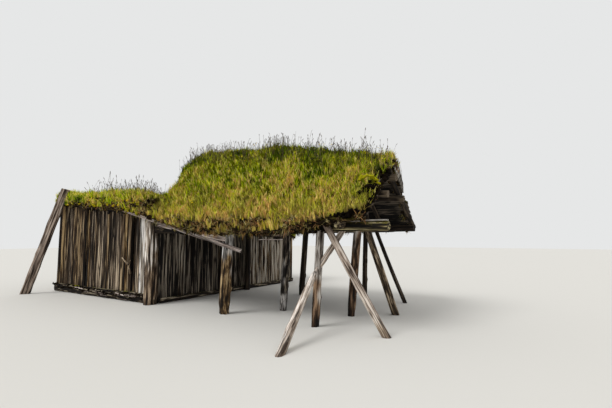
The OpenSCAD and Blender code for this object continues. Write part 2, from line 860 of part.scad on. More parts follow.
module rafters(side) {
    for (x = rafter_xs)
        difference() {
            intersection() {
                rafter_shape(x, side);
                translate([-far, side == 0 ? ridge_y - far : ridge_y, 0]) cube([2 * far, far, far]);
            }
            plate_log(side);
            ridge_shape();
            purlin_shape(side);
            for (i = [0:len(tie_list) - 1]) tie_shape(i);
        }
}

module rafters_front() {
    color("#5a5042") centred() rafters(0);
}

module rafters_rear() {
    color("#5a5042") centred() rafters(1);
}

module prop_gable_front() {
    color("#9a8b7d") centred() difference() {
        raking(prop_front_ends, prop_front_d);
        plate_log(0);
    }
}

module prop_gable_mid() {
    color("#756a5c") centred() difference() {
        raking(prop_mid_ends, prop_mid_d);
        tie_shape(0);
    }
}

module prop_gable_rear() {
    color("#43392f") centred() difference() {
        raking(prop_rear_ends, prop_rear_d);
        plate_log(1);
        tie_shape(0);
    }
}

module prop_leaning() {
    color("#a09284") centred() difference() {
        raking(leaning_ends, leaning_d);
        front_right_log();
        along(leaning_ends[0], leaning_ends[1])
            translate([leaning_d / 2, 0, norm(leaning_ends[1] - leaning_ends[0]) - hewn_len])
                rotate([0, -atan(hewn_share * leaning_d / hewn_len), 0])
                    translate([0, -leaning_d, 0]) cube([leaning_d, 2 * leaning_d, 2 * hewn_len]);
    }
}

module knee_brace() {
    color("#8b8378") centred() difference() {
        knee_brace_shape();
        front_right_log();
        plate_log(0);
        tie_shape(0);
    }
}

// A bowed board on edge at the rear verge, which keeps the turf in
module barge_board() {
    x = verge_rear;
    rack = atan((verge_front - verge_rear) / porch_depth);
    function rise(t) = board_top + barge_rise + barge_bow * sin(180 * t);
    function edge(t, h) = let (p = on_slope(x, 1, to_ridge(x, 1, h) - barge_len * t, h))
        [p.y / cos(rack), p.z];
    rim = [for (i = [barge_steps:-1:0]) edge(i / barge_steps, rise(i / barge_steps))];
    color("#8f877c") centred()
        translate([verge_front, 0, 0]) rotate([0, 0, rack]) rotate([90, 0, 90])
            linear_extrude(height = barge_t)
                polygon(concat([edge(0, board_low), edge(1, board_low)], rim));
}

module eave_plank() {
    color("#a39484") centred() eave_plank_shape();
}

sill_front();
sill_porch_side();
sill_back();
sill_left();
wall_front();
wall_porch_side();
wall_back();
wall_left();
corner_post();
house_poles();
house_boards();
house_turf();
corner_prop();
post_front_right();
post_front_left();
post_mid_left();
post_mid_gable();
post_rear_left();
post_rear_right();
post_rear_wall();
plate_front();
plate_rear();
tie_gable();
tie_mid();
tie_inner();
tie_house();
king_gable();
king_mid();
king_inner();
king_house();
ridge_log();
purlin_front();
purlin_rear();
struts_front();
struts_rear();
rafters_front();
rafters_rear();
porch_boards_front();
porch_boards_rear();
porch_turf();
prop_gable_front();
prop_gable_mid();
prop_gable_rear();
prop_leaning();
knee_brace();
eave_plank();
barge_board();
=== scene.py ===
"""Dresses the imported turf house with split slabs, weathered logs, roof boards and living turf.

Every length is in metres. Places are measured from the foot of the front right post, which
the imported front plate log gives, with X towards the open gable, Y to the back and Z up.
"""

from __future__ import annotations

import json
import logging
import math
import random
from contextlib import contextmanager
from dataclasses import dataclass, field, replace
from enum import Enum
from typing import Any, Callable, Iterator, Sequence

import bpy
from mathutils import Matrix, Vector, noise
from mathutils.bvhtree import BVHTree

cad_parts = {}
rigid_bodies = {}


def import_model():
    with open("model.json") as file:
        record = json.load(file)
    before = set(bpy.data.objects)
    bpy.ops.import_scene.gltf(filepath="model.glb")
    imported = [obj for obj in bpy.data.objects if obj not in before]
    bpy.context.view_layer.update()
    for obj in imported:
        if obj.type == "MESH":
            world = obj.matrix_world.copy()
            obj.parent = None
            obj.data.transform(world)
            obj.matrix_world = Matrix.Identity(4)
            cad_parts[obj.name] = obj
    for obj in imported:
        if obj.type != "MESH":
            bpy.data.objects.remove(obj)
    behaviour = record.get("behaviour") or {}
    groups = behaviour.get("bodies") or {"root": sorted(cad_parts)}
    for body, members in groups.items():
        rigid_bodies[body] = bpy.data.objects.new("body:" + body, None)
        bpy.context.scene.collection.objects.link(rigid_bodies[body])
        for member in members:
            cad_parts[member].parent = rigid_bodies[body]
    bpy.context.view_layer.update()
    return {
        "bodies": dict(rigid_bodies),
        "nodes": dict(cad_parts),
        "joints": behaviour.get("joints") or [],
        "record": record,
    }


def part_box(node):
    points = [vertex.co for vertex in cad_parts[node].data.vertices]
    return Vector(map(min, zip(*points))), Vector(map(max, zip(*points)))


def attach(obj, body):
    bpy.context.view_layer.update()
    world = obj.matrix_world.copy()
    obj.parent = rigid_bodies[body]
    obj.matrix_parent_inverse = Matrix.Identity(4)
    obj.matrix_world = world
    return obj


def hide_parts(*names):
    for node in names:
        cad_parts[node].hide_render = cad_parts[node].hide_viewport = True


LOG = logging.getLogger("turf_house")
BODY = "root"
MM = 0.001

Point = tuple[float, float, float]
Piece = bpy.types.Object
Shaper = Callable[[Vector], Vector]


class Slot(Enum):
    """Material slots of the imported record."""

    BARK_LOG = "bark_log"
    GREY_LOG = "grey_log"
    DARK_LOG = "dark_log"
    MOSSY_LOG = "mossy_log"
    PALE_LOG = "pale_log"
    SLABS = "split_slabs"
    SILL = "sill_timber"
    SAWN = "sawn_board"
    ROOF_BOARD = "roof_board"
    TURF = "turf"


class Select(Enum):
    """What an edit works on."""

    VERTICES = "VERT"
    EDGES = "EDGE"
    POLYGONS = "FACE"


class Grain(Enum):
    """Which way the grain of a piece runs in the frame, as the turn of the wood's pattern."""

    FOLLOWS = None
    UPRIGHT = (0, 0, 0)
    ALONG_Y = (90, 0, 0)
    UP_FRONT_SLOPE = (50, 0, 0)
    UP_REAR_SLOPE = (-50, 0, 0)


# Modelling


def pick(*pieces: Piece) -> None:
    """Selects these pieces alone, the first one active.

    Args:
        pieces: The objects to select.
    """
    bpy.ops.object.select_all(action="DESELECT")
    for piece in pieces:
        piece.select_set(True)
    bpy.context.view_layer.objects.active = pieces[0]


@contextmanager
def editing(piece: Piece, kind: Select, chosen: Callable[[Any], bool] | None = None) -> Iterator[None]:
    """Opens a piece for edits on chosen elements.

    Args:
        piece: The object to edit.
        kind: Which elements are selected.
        chosen: Says of an element whether it is selected, or None for all of them.
    """
    pick(piece)
    mesh = piece.data
    bpy.context.tool_settings.mesh_select_mode = [kind is one for one in Select]
    for one in Select:
        elements = getattr(mesh, one.name.lower())
        elements.foreach_set("select", [chosen is None] * len(elements))
    if chosen:
        elements = getattr(mesh, kind.name.lower())
        elements.foreach_set("select", [chosen(element) for element in elements])
    bpy.ops.object.mode_set(mode="EDIT")
    yield
    bpy.ops.object.mode_set(mode="OBJECT")


def runs_along(mesh: bpy.types.Mesh, axis: int) -> Callable[[Any], bool]:
    """Makes a test for edges that run along an axis.

    Args:
        mesh: The mesh whose edges are asked.
        axis: 0, 1 or 2 for X, Y or Z.

    Returns:
        The test, which takes an edge.
    """

    def test(edge: Any) -> bool:
        """Says whether an edge runs along the axis."""
        a, b = (mesh.vertices[i].co for i in edge.vertices)
        step = b - a
        return abs(step[axis]) > 0.9 * step.length

    return test


def finish_modifier(piece: Piece, kind: str, **settings: Any) -> None:
    """Adds a modifier and applies it.

    Args:
        piece: The object that gets it.
        kind: Blender's name for the modifier.
        settings: Its properties.
    """
    pick(piece)
    modifier = piece.modifiers.new(kind.lower(), kind)
    for name, value in settings.items():
        setattr(modifier, name, value)
    bpy.ops.object.modifier_apply(modifier=modifier.name)


def twin(piece: Piece, name: str) -> Piece:
    """Copies a piece with a mesh of its own.

    Args:
        piece: The object to copy.
        name: The copy's name.

    Returns:
        The copy.
    """
    other = piece.copy()
    other.data = piece.data.copy()
    other.name = other.data.name = name
    bpy.context.scene.collection.objects.link(other)
    return other


def joined(pieces: Sequence[Piece], name: str) -> Piece:
    """Joins pieces into one mesh.

    Args:
        pieces: The objects to join.
        name: The joined piece's name.

    Returns:
        The joined piece.
    """
    pick(*pieces)
    if len(pieces) > 1:
        bpy.ops.object.join()
    pieces[0].name = pieces[0].data.name = name
    return pieces[0]


def remove(*pieces: Piece) -> None:
    """Deletes patterns that were only modelled to be copied."""
    for piece in pieces:
        bpy.data.meshes.remove(piece.data)


def primitive(add: Callable[..., Any], name: str = "pattern", **settings: Any) -> Piece:
    """Adds a primitive to start from, with nothing else selected.

    Args:
        add: Blender's operator for it.
        name: The new piece's name.
        settings: The operator's settings.

    Returns:
        The new piece.
    """
    bpy.ops.object.select_all(action="DESELECT")
    add(**settings)
    piece = bpy.context.object
    piece.name = piece.data.name = name
    return piece


def cut_rows(piece: Piece, *rows: tuple[int, int]) -> None:
    """Subdivides the edges that run along an axis, for each pair of an axis and a number of cuts."""
    for axis, number in rows:
        with editing(piece, Select.EDGES, runs_along(piece.data, axis)):
            bpy.ops.mesh.subdivide(number_cuts=number)


def shape(piece: Piece, rule: Shaper) -> None:
    """Moves every vertex of a piece.

    Args:
        piece: The object to shape.
        rule: Gives a vertex's new place from its old one.
    """
    for vertex in piece.data.vertices:
        vertex.co = rule(vertex.co.copy())
    piece.data.update()


def swell(piece: Piece, rule: Callable[[Vector, Vector], Vector]) -> None:
    """Moves every vertex of a piece by a rule that also reads its normal.

    Args:
        piece: The object to shape.
        rule: Gives a vertex's new place from its old one and its normal.
    """
    normals = [vertex.normal.copy() for vertex in piece.data.vertices]
    for vertex, normal in zip(piece.data.vertices, normals):
        vertex.co = rule(vertex.co.copy(), normal)
    piece.data.update()


def put(piece: Piece, place: Matrix) -> None:
    """Turns and moves a piece, and keeps its place in its mesh.

    Args:
        piece: The object to place.
        place: Its turn and move.
    """
    piece.matrix_world = place
    pick(piece)
    bpy.ops.object.transform_apply(location=True, rotation=True, scale=True)


def write_layer(piece: Piece, name: str, rule: Callable[[Vector], float]) -> None:
    """Writes a number on each vertex of a piece.

    Args:
        piece: The object that gets the layer.
        name: The layer's name.
        rule: Gives the number from the vertex's place.
    """
    layer = piece.data.attributes.new(name, "FLOAT", "POINT")
    layer.data.foreach_set("value", [rule(vertex.co) for vertex in piece.data.vertices])


def write_grain(piece: Piece, rule: Shaper) -> None:
    """Writes where each vertex is in its timber, with the grain along Z, for the wood's pattern.

    Args:
        piece: The timber.
        rule: Gives that place from the vertex's own, moved so that no two timbers look alike.
    """
    layer = piece.data.attributes.new("grain", "FLOAT_VECTOR", "POINT")
    layer.data.foreach_set("vector", [part for vertex in piece.data.vertices for part in rule(vertex.co)])


def rough(place: Vector, size: float, seed: float = 0.0) -> float:
    """Gives smooth noise of about -0.7 to 0.7.

    Args:
        place: Where it is read.
        size: The distance between one bump and the next.
        seed: Picks another pattern.

    Returns:
        The noise.
    """
    return noise.noise(place / size + Vector((seed * 3.7, seed * 1.3, -seed * 2.1)))


def ease(value: float, low: float, high: float) -> float:
    """Goes smoothly from 0 at low to 1 at high."""
    share = min(1.0, max(0.0, (value - low) / (high - low)))
    return share * share * (3.0 - 2.0 * share)


def blend(a: float, b: float, share: float) -> float:
    """Gives the value at a share of the way from a to b."""
    return a + (b - a) * share


# Finishes


def linear(code: str) -> tuple[float, float, float, float]:
    """Turns an sRGB hex colour to linear light.

    Args:
        code: Six hex digits after a hash.

    Returns:
        Red, green, blue and 1.
    """
    parts = [int(code[i : i + 2], 16) / 255 for i in (1, 3, 5)]
    red, green, blue = [p / 12.92 if p <= 0.04045 else ((p + 0.055) / 1.055) ** 2.4 for p in parts]
    return red, green, blue, 1.0


def add_node(tree: Any, kind: str, inputs: Any = (), out: int | str | None = 0, **settings: Any) -> Any:
    """Adds a node, sets it up and fills its inputs.

    Args:
        tree: The node tree.
        kind: Blender's name for the node, without its family's name for a shader node.
        inputs: A value, or the output that feeds it, for the first inputs or for each one named.
        out: Which of its outputs is wanted, or None for the node.
        settings: The node's properties, and stops as (place, hex colour) for a colour ramp.

    Returns:
        The output or the node.
    """
    family = "" if kind.startswith(("Geometry", "Function", "Node", "Shader")) else "ShaderNode"
    node = tree.nodes.new(family + kind)
    for place, (at, code) in enumerate(settings.pop("stops", ())):
        ramp = node.color_ramp.elements
        stop = ramp[place] if place < 2 else ramp.new(at)
        stop.position = at
        stop.color = linear(code)
    for name, value in settings.items():
        setattr(node, name, value)
    for name, value in inputs.items() if isinstance(inputs, dict) else enumerate(inputs):
        if isinstance(value, bpy.types.NodeSocket):
            tree.links.new(value, node.inputs[name])
        else:
            node.inputs[name].default_value = value
    return node if out is None else node.outputs[out]


def new_material(name: str, roughness: float, specular: float) -> tuple[Any, Any, Any]:
    """Makes a material with its shader's gloss set.

    Args:
        name: The material's name.
        roughness: The shader's roughness.
        specular: The shader's specular level.

    Returns:
        The material, its node tree and its shader.
    """
    material = bpy.data.materials.new(name)
    material.use_nodes = True
    shader = material.node_tree.nodes["Principled BSDF"]
    shader.inputs["Roughness"].default_value = roughness
    shader.inputs["Specular IOR Level"].default_value = specular
    return material, material.node_tree, shader


@dataclass(frozen=True)
class Wood:
    """Weathered spruce or birch, split or round: streaks along the grain, open checks, moss.

    The bare layer of a piece says where its bark is gone and the wood has bleached grey, and on
    the porch side's slabs also where their paler colour stands for painted light. Its tone layer
    makes one slab or board darker or paler than the next, and carries painted shade in the slits
    and where turf covers a log. Streaks are drawn 14 to 30 mm wide, coarser than real grain, so
    that they show. A pair of a width and a stretch gives the size of a mark and how many times
    longer it is.
    """

    name: str
    bare: tuple[str, str, str, str]
    bark: tuple[str, str, str, str] = ("#1a1109", "#3c2f20", "#5b4c3a", "#857763")
    shades: tuple[float, ...] = (0.12, 0.4, 0.62, 0.9)
    streak: float = 20 * MM
    stretch: float = 16.0
    contrast: float = 1.9
    patch: tuple[float, float] = (200 * MM, 2.5)
    check: tuple[float, float] = (34 * MM, 26.0)
    check_edges: tuple[float, ...] = (0.45, 0.49, 0.51, 0.55)
    check_depth: float = 0.8
    check_colour: str = "#0e0906"
    moss: float = 0.0
    moss_clump: float = 90 * MM
    moss_colour: str = "#75752a"
    damp: float = 0.22
    damp_shade: float = 0.22
    relief: float = 5 * MM
    roughness: float = 0.9
    specular: float = 0.25
    bare_share: float = 0.35

    def material(self, grain: Grain = Grain.FOLLOWS) -> bpy.types.Material:
        """Makes the material.

        Args:
            grain: Which way the grain runs, or FOLLOWS for the piece's own grain and bare layers.

        Returns:
            The material.
        """
        title = f"{self.name}_{grain.name.lower()}"
        material, tree, shader = new_material(title, self.roughness, self.specular)
        place = add_node(tree, "TexCoord", out="Object")
        if grain is Grain.FOLLOWS:
            along = add_node(tree, "Attribute", out="Vector", attribute_name="grain")
            bared = add_node(tree, "Attribute", out="Fac", attribute_name="bare")
        else:
            turn = tuple(math.radians(angle) for angle in grain.value)
            along = add_node(tree, "Mapping", {"Vector": place, "Rotation": turn})
            bared = self.bare_share
        streaks = self._drawn_noise(tree, along, self.streak, self.stretch, 6.0)
        patches = self._drawn_noise(tree, along, *self.patch, 2.0)
        checks = self._drawn_noise(tree, along, *self.check, 1.0)
        strength = (streaks, self.contrast, -self.contrast / 2)
        streaked = add_node(tree, "Math", strength, operation="MULTIPLY_ADD")
        tone = add_node(tree, "Attribute", out="Fac", attribute_name="tone")
        toned = add_node(tree, "Math", (patches, tone), operation="ADD")
        worn = add_node(tree, "Math", (toned, streaked), operation="ADD")
        shade = self._damped(tree, place, worn)
        bare, bark = (
            add_node(tree, "ValToRGB", (shade,), stops=zip(self.shades, colours))
            for colours in (self.bare, self.bark)
        )
        wood = add_node(tree, "Mix", {0: bared, 6: bark, 7: bare}, out=2, data_type="RGBA")
        edges = zip(self.check_edges, ("#000000", "#ffffff", "#ffffff", "#000000"))
        crack = add_node(tree, "ValToRGB", (checks,), stops=edges)
        deep = add_node(tree, "Math", (crack, self.check_depth), operation="MULTIPLY")
        checked = {0: deep, 6: wood, 7: linear(self.check_colour)}
        colour = add_node(tree, "Mix", checked, out=2, data_type="RGBA")
        if self.moss:
            colour = self._mossy(tree, place, colour)
        height = add_node(tree, "Math", (streaks, deep), operation="SUBTRACT")
        bump = add_node(tree, "Bump", {"Height": height, "Strength": 0.8, "Distance": self.relief})
        tree.links.new(colour, shader.inputs["Base Color"])
        tree.links.new(bump, shader.inputs["Normal"])
        return material

    def _drawn_noise(self, tree: Any, along: Any, width: float, stretch: float, detail: float) -> Any:
        """Adds noise of a real width that is drawn out along the grain.

        Args:
            tree: The node tree.
            along: The place in the timber, with the grain along Z.
            width: The width of one streak.
            stretch: How many times longer than wide a streak is.
            detail: The octaves of finer noise.

        Returns:
            The noise.
        """
        drawn = add_node(tree, "Mapping", {"Vector": along, "Scale": (1, 1, 1 / stretch)})
        look = {"Vector": drawn, "Scale": 0.5 / width, "Detail": detail, "Roughness": 0.62}
        return add_node(tree, "TexNoise", look)

    def _damped(self, tree: Any, place: Any, shade: Any) -> Any:
        """Darkens the wood just above the ground and returns the shade."""
        up = add_node(tree, "SeparateXYZ", (place,), out=2)
        wet = add_node(tree, "MapRange", (up, 0.0, self.damp, self.damp_shade, 0.0))
        return add_node(tree, "Math", (shade, wet), operation="SUBTRACT")

    def _mossy(self, tree: Any, place: Any, colour: Any) -> Any:
        """Lays patches of moss on the upper faces and returns the colour."""
        normal = add_node(tree, "NewGeometry", out="Normal")
        up = add_node(tree, "SeparateXYZ", (normal,), out=2)
        clump = add_node(tree, "TexNoise", {"Vector": place, "Scale": 1 / self.moss_clump, "Detail": 4.0})
        laid = add_node(tree, "Math", (up, 0.3, clump), operation="MULTIPLY_ADD")
        edge = 0.95 - 0.5 * self.moss
        mask = add_node(tree, "MapRange", (laid, edge - 0.1, edge + 0.05))
        mossed = {0: mask, 6: colour, 7: linear(self.moss_colour)}
        return add_node(tree, "Mix", mossed, out=2, data_type="RGBA")


@dataclass(frozen=True)
class Growth:
    """Living or dead plants and the soil they hold, coloured in drifts, blade by blade and root to tip.

    The tip layer is 0 at a root and 1 at a tip, hue tells one blade from the next, and tuft one
    tuft from the next. The colour goes to the root colour towards the root: the plant's own colour
    there, and painted shade between close blades and under a lump. Lines are heights between which
    a colour fades in.
    """

    name: str
    drifts: tuple[str, ...]
    blades: tuple[str, ...]
    root: str
    foot: str = ""
    root_share: float = 0.6
    foot_share: float = 0.0
    foot_line: tuple[float, float] = (2.0, 2.95)
    foot_sway: float = 1.6
    drift: float = 0.8
    tuft_share: float = 0.7
    blade_share: float = 0.5
    patches: float = 0.2
    crown: float = 0.0
    crown_line: tuple[float, float] = (2.9, 3.7)
    steep: str = ""
    steep_slope: tuple[float, float] = (0.15, 0.5)
    rootlet: float = 35 * MM
    crumb: float = 25 * MM
    relief: float = 0.0
    roughness: float = 0.8
    specular: float = 0.04

    def material(self) -> bpy.types.Material:
        """Makes the material.

        Returns:
            The material.
        """
        material, tree, shader = new_material(self.name, self.roughness, self.specular)
        place = add_node(tree, "TexCoord", out="Object")
        wide = add_node(tree, "TexNoise", {"Vector": place, "Scale": 1 / self.drift, "Detail": 5.0})
        drift = add_node(tree, "ValToRGB", (wide,), stops=self._stops(self.drifts, 0.33, 0.67))
        hue = add_node(tree, "Attribute", out="Fac", attribute_name="hue")
        tuft = add_node(tree, "Attribute", out="Fac", attribute_name="tuft")
        own = add_node(tree, "Mix", {0: self.tuft_share, 2: hue, 3: tuft})
        patch = add_node(tree, "MapRange", (wide, 0.3, 0.7, -self.patches, self.patches))
        picked = add_node(tree, "Math", (own, patch), operation="ADD")
        up = add_node(tree, "SeparateXYZ", (place,), out=2)
        high = add_node(tree, "MapRange", (up, *self.crown_line, 0.0, -self.crown))
        picked = add_node(tree, "Math", (picked, high), operation="ADD")
        blade = add_node(tree, "ValToRGB", (picked,), stops=self._stops(self.blades, 0.25, 0.75))
        leaf = add_node(tree, "Mix", {0: self.blade_share, 6: drift, 7: blade}, out=2, data_type="RGBA")
        if self.foot_share:
            leaf = self._footed(tree, up, wide, leaf)
        if self.steep:
            leaf = self._steepened(tree, place, leaf)
        tip = add_node(tree, "Attribute", out="Fac", attribute_name="tip")
        # Towards the root the colour darkens: partly the plant's own, partly painted shade between the blades
        # and under a lump
        root_and_shade = add_node(tree, "MapRange", (tip, 0.0, 1.0, self.root_share, 0.0))
        colour = add_node(tree, "Mix", {0: root_and_shade, 6: leaf, 7: linear(self.root)}, out=2, data_type="RGBA")
        tree.links.new(colour, shader.inputs["Base Color"])
        if self.relief:
            crumbs = add_node(tree, "TexNoise", {"Vector": place, "Scale": 1 / self.crumb, "Detail": 5.0})
            bump = add_node(tree, "Bump", {"Height": crumbs, "Strength": 1.0, "Distance": self.relief})
            tree.links.new(bump, shader.inputs["Normal"])
        return material

    def _stops(self, colours: Sequence[str], low: float, high: float) -> list[tuple[float, str]]:
        """Spreads colours evenly between two places of a ramp."""
        return [(blend(low, high, i / (len(colours) - 1)), code) for i, code in enumerate(colours)]

    def _footed(self, tree: Any, up: Any, wide: Any, leaf: Any) -> Any:
        """Turns the growth to dead straw towards the foot of the slope and returns the colour."""
        uneven = add_node(tree, "Math", (wide, self.foot_sway, up), operation="MULTIPLY_ADD")
        low, high = (level + self.foot_sway / 2 for level in self.foot_line)
        dead = add_node(tree, "MapRange", (uneven, low, high, self.foot_share, 0.0))
        return add_node(tree, "Mix", {0: dead, 6: leaf, 7: linear(self.foot)}, out=2, data_type="RGBA")

    def _steepened(self, tree: Any, place: Any, leaf: Any) -> Any:
        """Shows bare soil with pale roots where the turf is cut steep and returns the colour."""
        normal = add_node(tree, "NewGeometry", out="Normal")
        up = add_node(tree, "SeparateXYZ", (normal,), out=2)
        bare = add_node(tree, "MapRange", (up, *self.steep_slope, 1.0, 0.0))
        fine = add_node(tree, "TexNoise", {"Vector": place, "Scale": 1 / self.rootlet, "Detail": 4.0})
        stops = ((0.38, "#060403"), (0.54, self.steep), (0.62, "#6b5634"), (0.7, "#b09868"))
        soil = add_node(tree, "ValToRGB", (fine,), stops=stops)
        return add_node(tree, "Mix", {0: bare, 6: leaf, 7: soil}, out=2, data_type="RGBA")


# Riven spruce slabs in the open: brown in the grooves, silver grey where the weather reaches
SPLIT_SLAB = Wood(
    "split_slab", ("#2a221a", "#786d5f", "#b3aa9e", "#f0ece6"), ("#080502", "#2f2010", "#5e4628", "#b0966c"),
    stretch=36.0, contrast=4.0, check_depth=0.95, relief=9 * MM, patch=(70 * MM, 16.0),
)
# Riven slabs under the porch: painted near black for the shade under the porch roof, paler and brown where
# they stand in the open, partly bleached and partly painted light
SHADED_SLAB = replace(
    SPLIT_SLAB, name="sheltered_slab", bare=("#1c120a", "#5a4229", "#a08a6c", "#e0d8ca"),
    bark=("#060403", "#0f0b08", "#1f1a14", "#8a7f70"), streak=24 * MM, contrast=6.0,
)
# Birch log with most of its bark gone: pale above and brown at the foot
CORNER_BIRCH = Wood(
    "corner_birch", ("#1c140d", "#6a5c4f", "#aa9c8c", "#f4eee6"),
    ("#120b06", "#3b2d20", "#6c5844", "#b49f86"),
    streak=24 * MM, stretch=14.0, contrast=3.8,
)
# Spruce log with flaking bark: warm brown below, silver where it has flaked off
BARKED_SPRUCE = Wood(
    "barked_spruce", ("#55504b", "#b2aeaa", "#dad6d2", "#f8f5f2"),
    ("#120b06", "#44331f", "#70583a", "#b39a74"),
    streak=24 * MM, stretch=7.0, contrast=3.6,
)
# Spruce log bared by the rain at its foot: cold grey below, near black above, which is painted shade under
# the roof
STRIPPED_SPRUCE = Wood(
    "stripped_spruce", ("#1c1814", "#787370", "#a8a4a0", "#dcd9d5"),
    ("#060403", "#1e1814", "#3f372f", "#8a7f70"),
    streak=24 * MM, stretch=6.0, contrast=4.0,
)
# Spruce log under the eave: brown, with dull grey streaks
SHELTERED_POST = Wood(
    "sheltered_post", ("#231c17", "#625951", "#938b83", "#d0cac2"),
    ("#0f0a06", "#352619", "#5a4534", "#94795f"),
    streak=24 * MM, stretch=9.0, contrast=3.6,
)
# Spruce that the roof keeps dry: dark brown, little drawn, and painted near black at its darkest for the
# shade under the roof
SHADED_SPRUCE = Wood(
    "dark_spruce", ("#080503", "#1f1812", "#3b3127", "#6d604f"), ("#080503", "#1f1812", "#352b20", "#5f5242"),
    streak=24 * MM, contrast=2.6,
)
# Damp spruce beam: deeply streaked, with green on its upper side
MOSSY_SPRUCE = Wood(
    "mossy_spruce", ("#070503", "#2f2716", "#635739", "#b3a77c"), moss_colour="#5f5821", moss=0.3,
    streak=28 * MM, contrast=6.4,
)
# Peeled pole: bleached pinkish grey with long dark checks
PEELED_POLE = Wood(
    "peeled_pole", ("#3f3128", "#998a7c", "#c6b8ab", "#f2eae1"), ("#2b2017", "#6f5f50", "#94826f", "#b9a894"),
    damp=0.15, streak=24 * MM, stretch=11.0, contrast=3.2,
)
# Peeled pole in half shade: the same, greyer
GREYED_POLE = replace(
    PEELED_POLE, name="greyed_pole", bare=("#2c221a", "#7a6a5d", "#a59689", "#dbcfc2"), contrast=3.4,
)
# Hewn beam: pinkish grey with broad soft streaks
PINK_BEAM = Wood(
    "hewn_beam", ("#2a2019", "#77675a", "#a39183", "#d4c5b7"), ("#251b14", "#4c3e33", "#6a5a4c", "#8f7f70"),
    streak=30 * MM, contrast=3.2, damp=0.15,
)
# Pole with its inner bark on: straw brown streaks on dark
BROWN_POLE = Wood(
    "brown_pole", ("#1f1710", "#5b4c3b", "#86745e", "#c4b298"), streak=24 * MM, stretch=6.0, contrast=3.4,
)
# Pole in full shade: near black
BLACK_POLE = Wood("black_pole", ("#0c0806", "#241d16", "#40362c", "#7a6e60"), contrast=2.4)
# Sawn spruce: thin, flat and even grey
SAWN_GREY = Wood("sawn_grey", ("#4f463e", "#9d948a", "#c6bfb6", "#ece7e1"), streak=14 * MM, contrast=2.2)
# Sawn deal, long in the rain: pinkish grey, dry down to its lowest edge
PINK_DEAL = replace(
    SAWN_GREY, name="pink_deal", bare=("#3c312a", "#988880", "#c8bab2", "#f2e9e2"), contrast=3.0, damp=0.05,
)
# Sawn barge board: dull greenish grey
BARGE_DEAL = Wood("barge_deal", ("#332e29", "#676159", "#8d877d", "#bdb7ae"), contrast=3.2)
# Sawn boards under turf: painted near black for the shade under the roof, with a paler sawn end
SHADED_ROOF_DEAL = Wood("roof_deal", ("#020101", "#090705", "#17130f", "#6a6054"), streak=18 * MM, contrast=4.0)
# Rotten sill: black and wet, with pale sapwood that breaks out and a little moss
ROTTEN_SILL = Wood(
    "rotten_sill", ("#050302", "#1a140d", "#3b3124", "#b0a590"), damp=0.2, moss=0.1, streak=24 * MM,
    stretch=9.0, contrast=4.4,
)

# Grass sod: olive over dark soil, with pale roots where it is cut steep
SOD = Growth(
    "sod_soil", ("#2f360c", "#454812", "#5a5418"), ("#1d2208", "#4a4a14", "#6b602c"), "#15140a", "#4a3f1c",
    root_share=0.35, foot_share=0.6, steep="#20150a", relief=18 * MM,
)
# Meadow grass: olive, green and straw blades, darker at the root, partly for the painted shade
# between them. The blades' own colours are paler than the roof looks, because they stand close
# and shade each other
GRASS = Growth(
    "roof_grass",
    ("#6e980c", "#b8cc14", "#f0ec20", "#f0e424", "#f4dc58"),
    ("#141f04", "#567c0a", "#b4d014", "#f4f028", "#fff894", "#ecb878"),
    "#343a06", "#ecc070", root_share=0.48, foot_share=0.42, blade_share=0.82, foot_line=(1.8, 2.7), crown=0.2,
)
# Short grass that the low roof feeds well: the same, yellower green
LOW_GRASS = replace(
    GRASS, name="low_roof_grass", drifts=("#8cbc0c", "#b4d410", "#e8f018", "#f0e420"),
    blades=("#38500a", "#84ac0c", "#c8e014", "#f8f428", "#fff894", "#f4d080"), root="#667008", root_share=0.3,
    foot_share=0.05,
)
# Dead grass at the eave: brown and straw, nearly black at the root, which is painted shade at the turf's edge
DRY_GRASS = Growth(
    "dry_eave_grass", ("#6a5830", "#8a744a", "#84802c"),
    ("#0a0703", "#3e3014", "#f6e4a8", "#8e8c1c", "#cc9464"),
    "#080502", root_share=0.85, blade_share=0.85,
)
# Cushion moss: yellow-green and matt, darker on its underside, which is painted shade
MOSS = Growth(
    "eave_moss", ("#646a0c", "#b0a812", "#e0cc1c"), ("#343c08", "#8c8410", "#dcb41c"), "#14140a",
    root_share=0.7, relief=10 * MM,
)
# Cushion moss in the light: clear yellow
BRIGHT_MOSS = replace(MOSS, name="bright_moss", drifts=("#a8a410", "#f0e41c"), blades=("#8c8c10", "#fff42c"))
# Clods: dark crumbling soil held by dead roots, darker still on their undersides, which is painted shade
CLOD = Growth(
    "soil_clod", ("#0e0905", "#20170c", "#3a2c18"), ("#080503", "#281d0c", "#80694a"), "#080503",
    root_share=0.4, relief=14 * MM,
)
# Dried sod: pale pinkish crumbs
PALE_CLOD = replace(
    CLOD, name="weathered_sod", drifts=("#5a4c3a", "#a8968a"), blades=("#1c140c", "#a0907c", "#d8ccc0"),
)
# Seed stalks: dry stems with reddish-grey heads
SEED_STALK = Growth(
    "seed_stalk", ("#4d443c", "#605448"), ("#3a2e2c", "#6c5e50", "#5a403a"), "#6d6a3a", root_share=0.3,
)
# Buttercup petals: clear yellow, a little orange at the heart
PETAL = Growth("buttercup_petal", ("#e8cf14", "#f0dc2a"), ("#dfb512", "#f4e23c"), "#b5860e", root_share=0.4)


# The frame and what is read from it


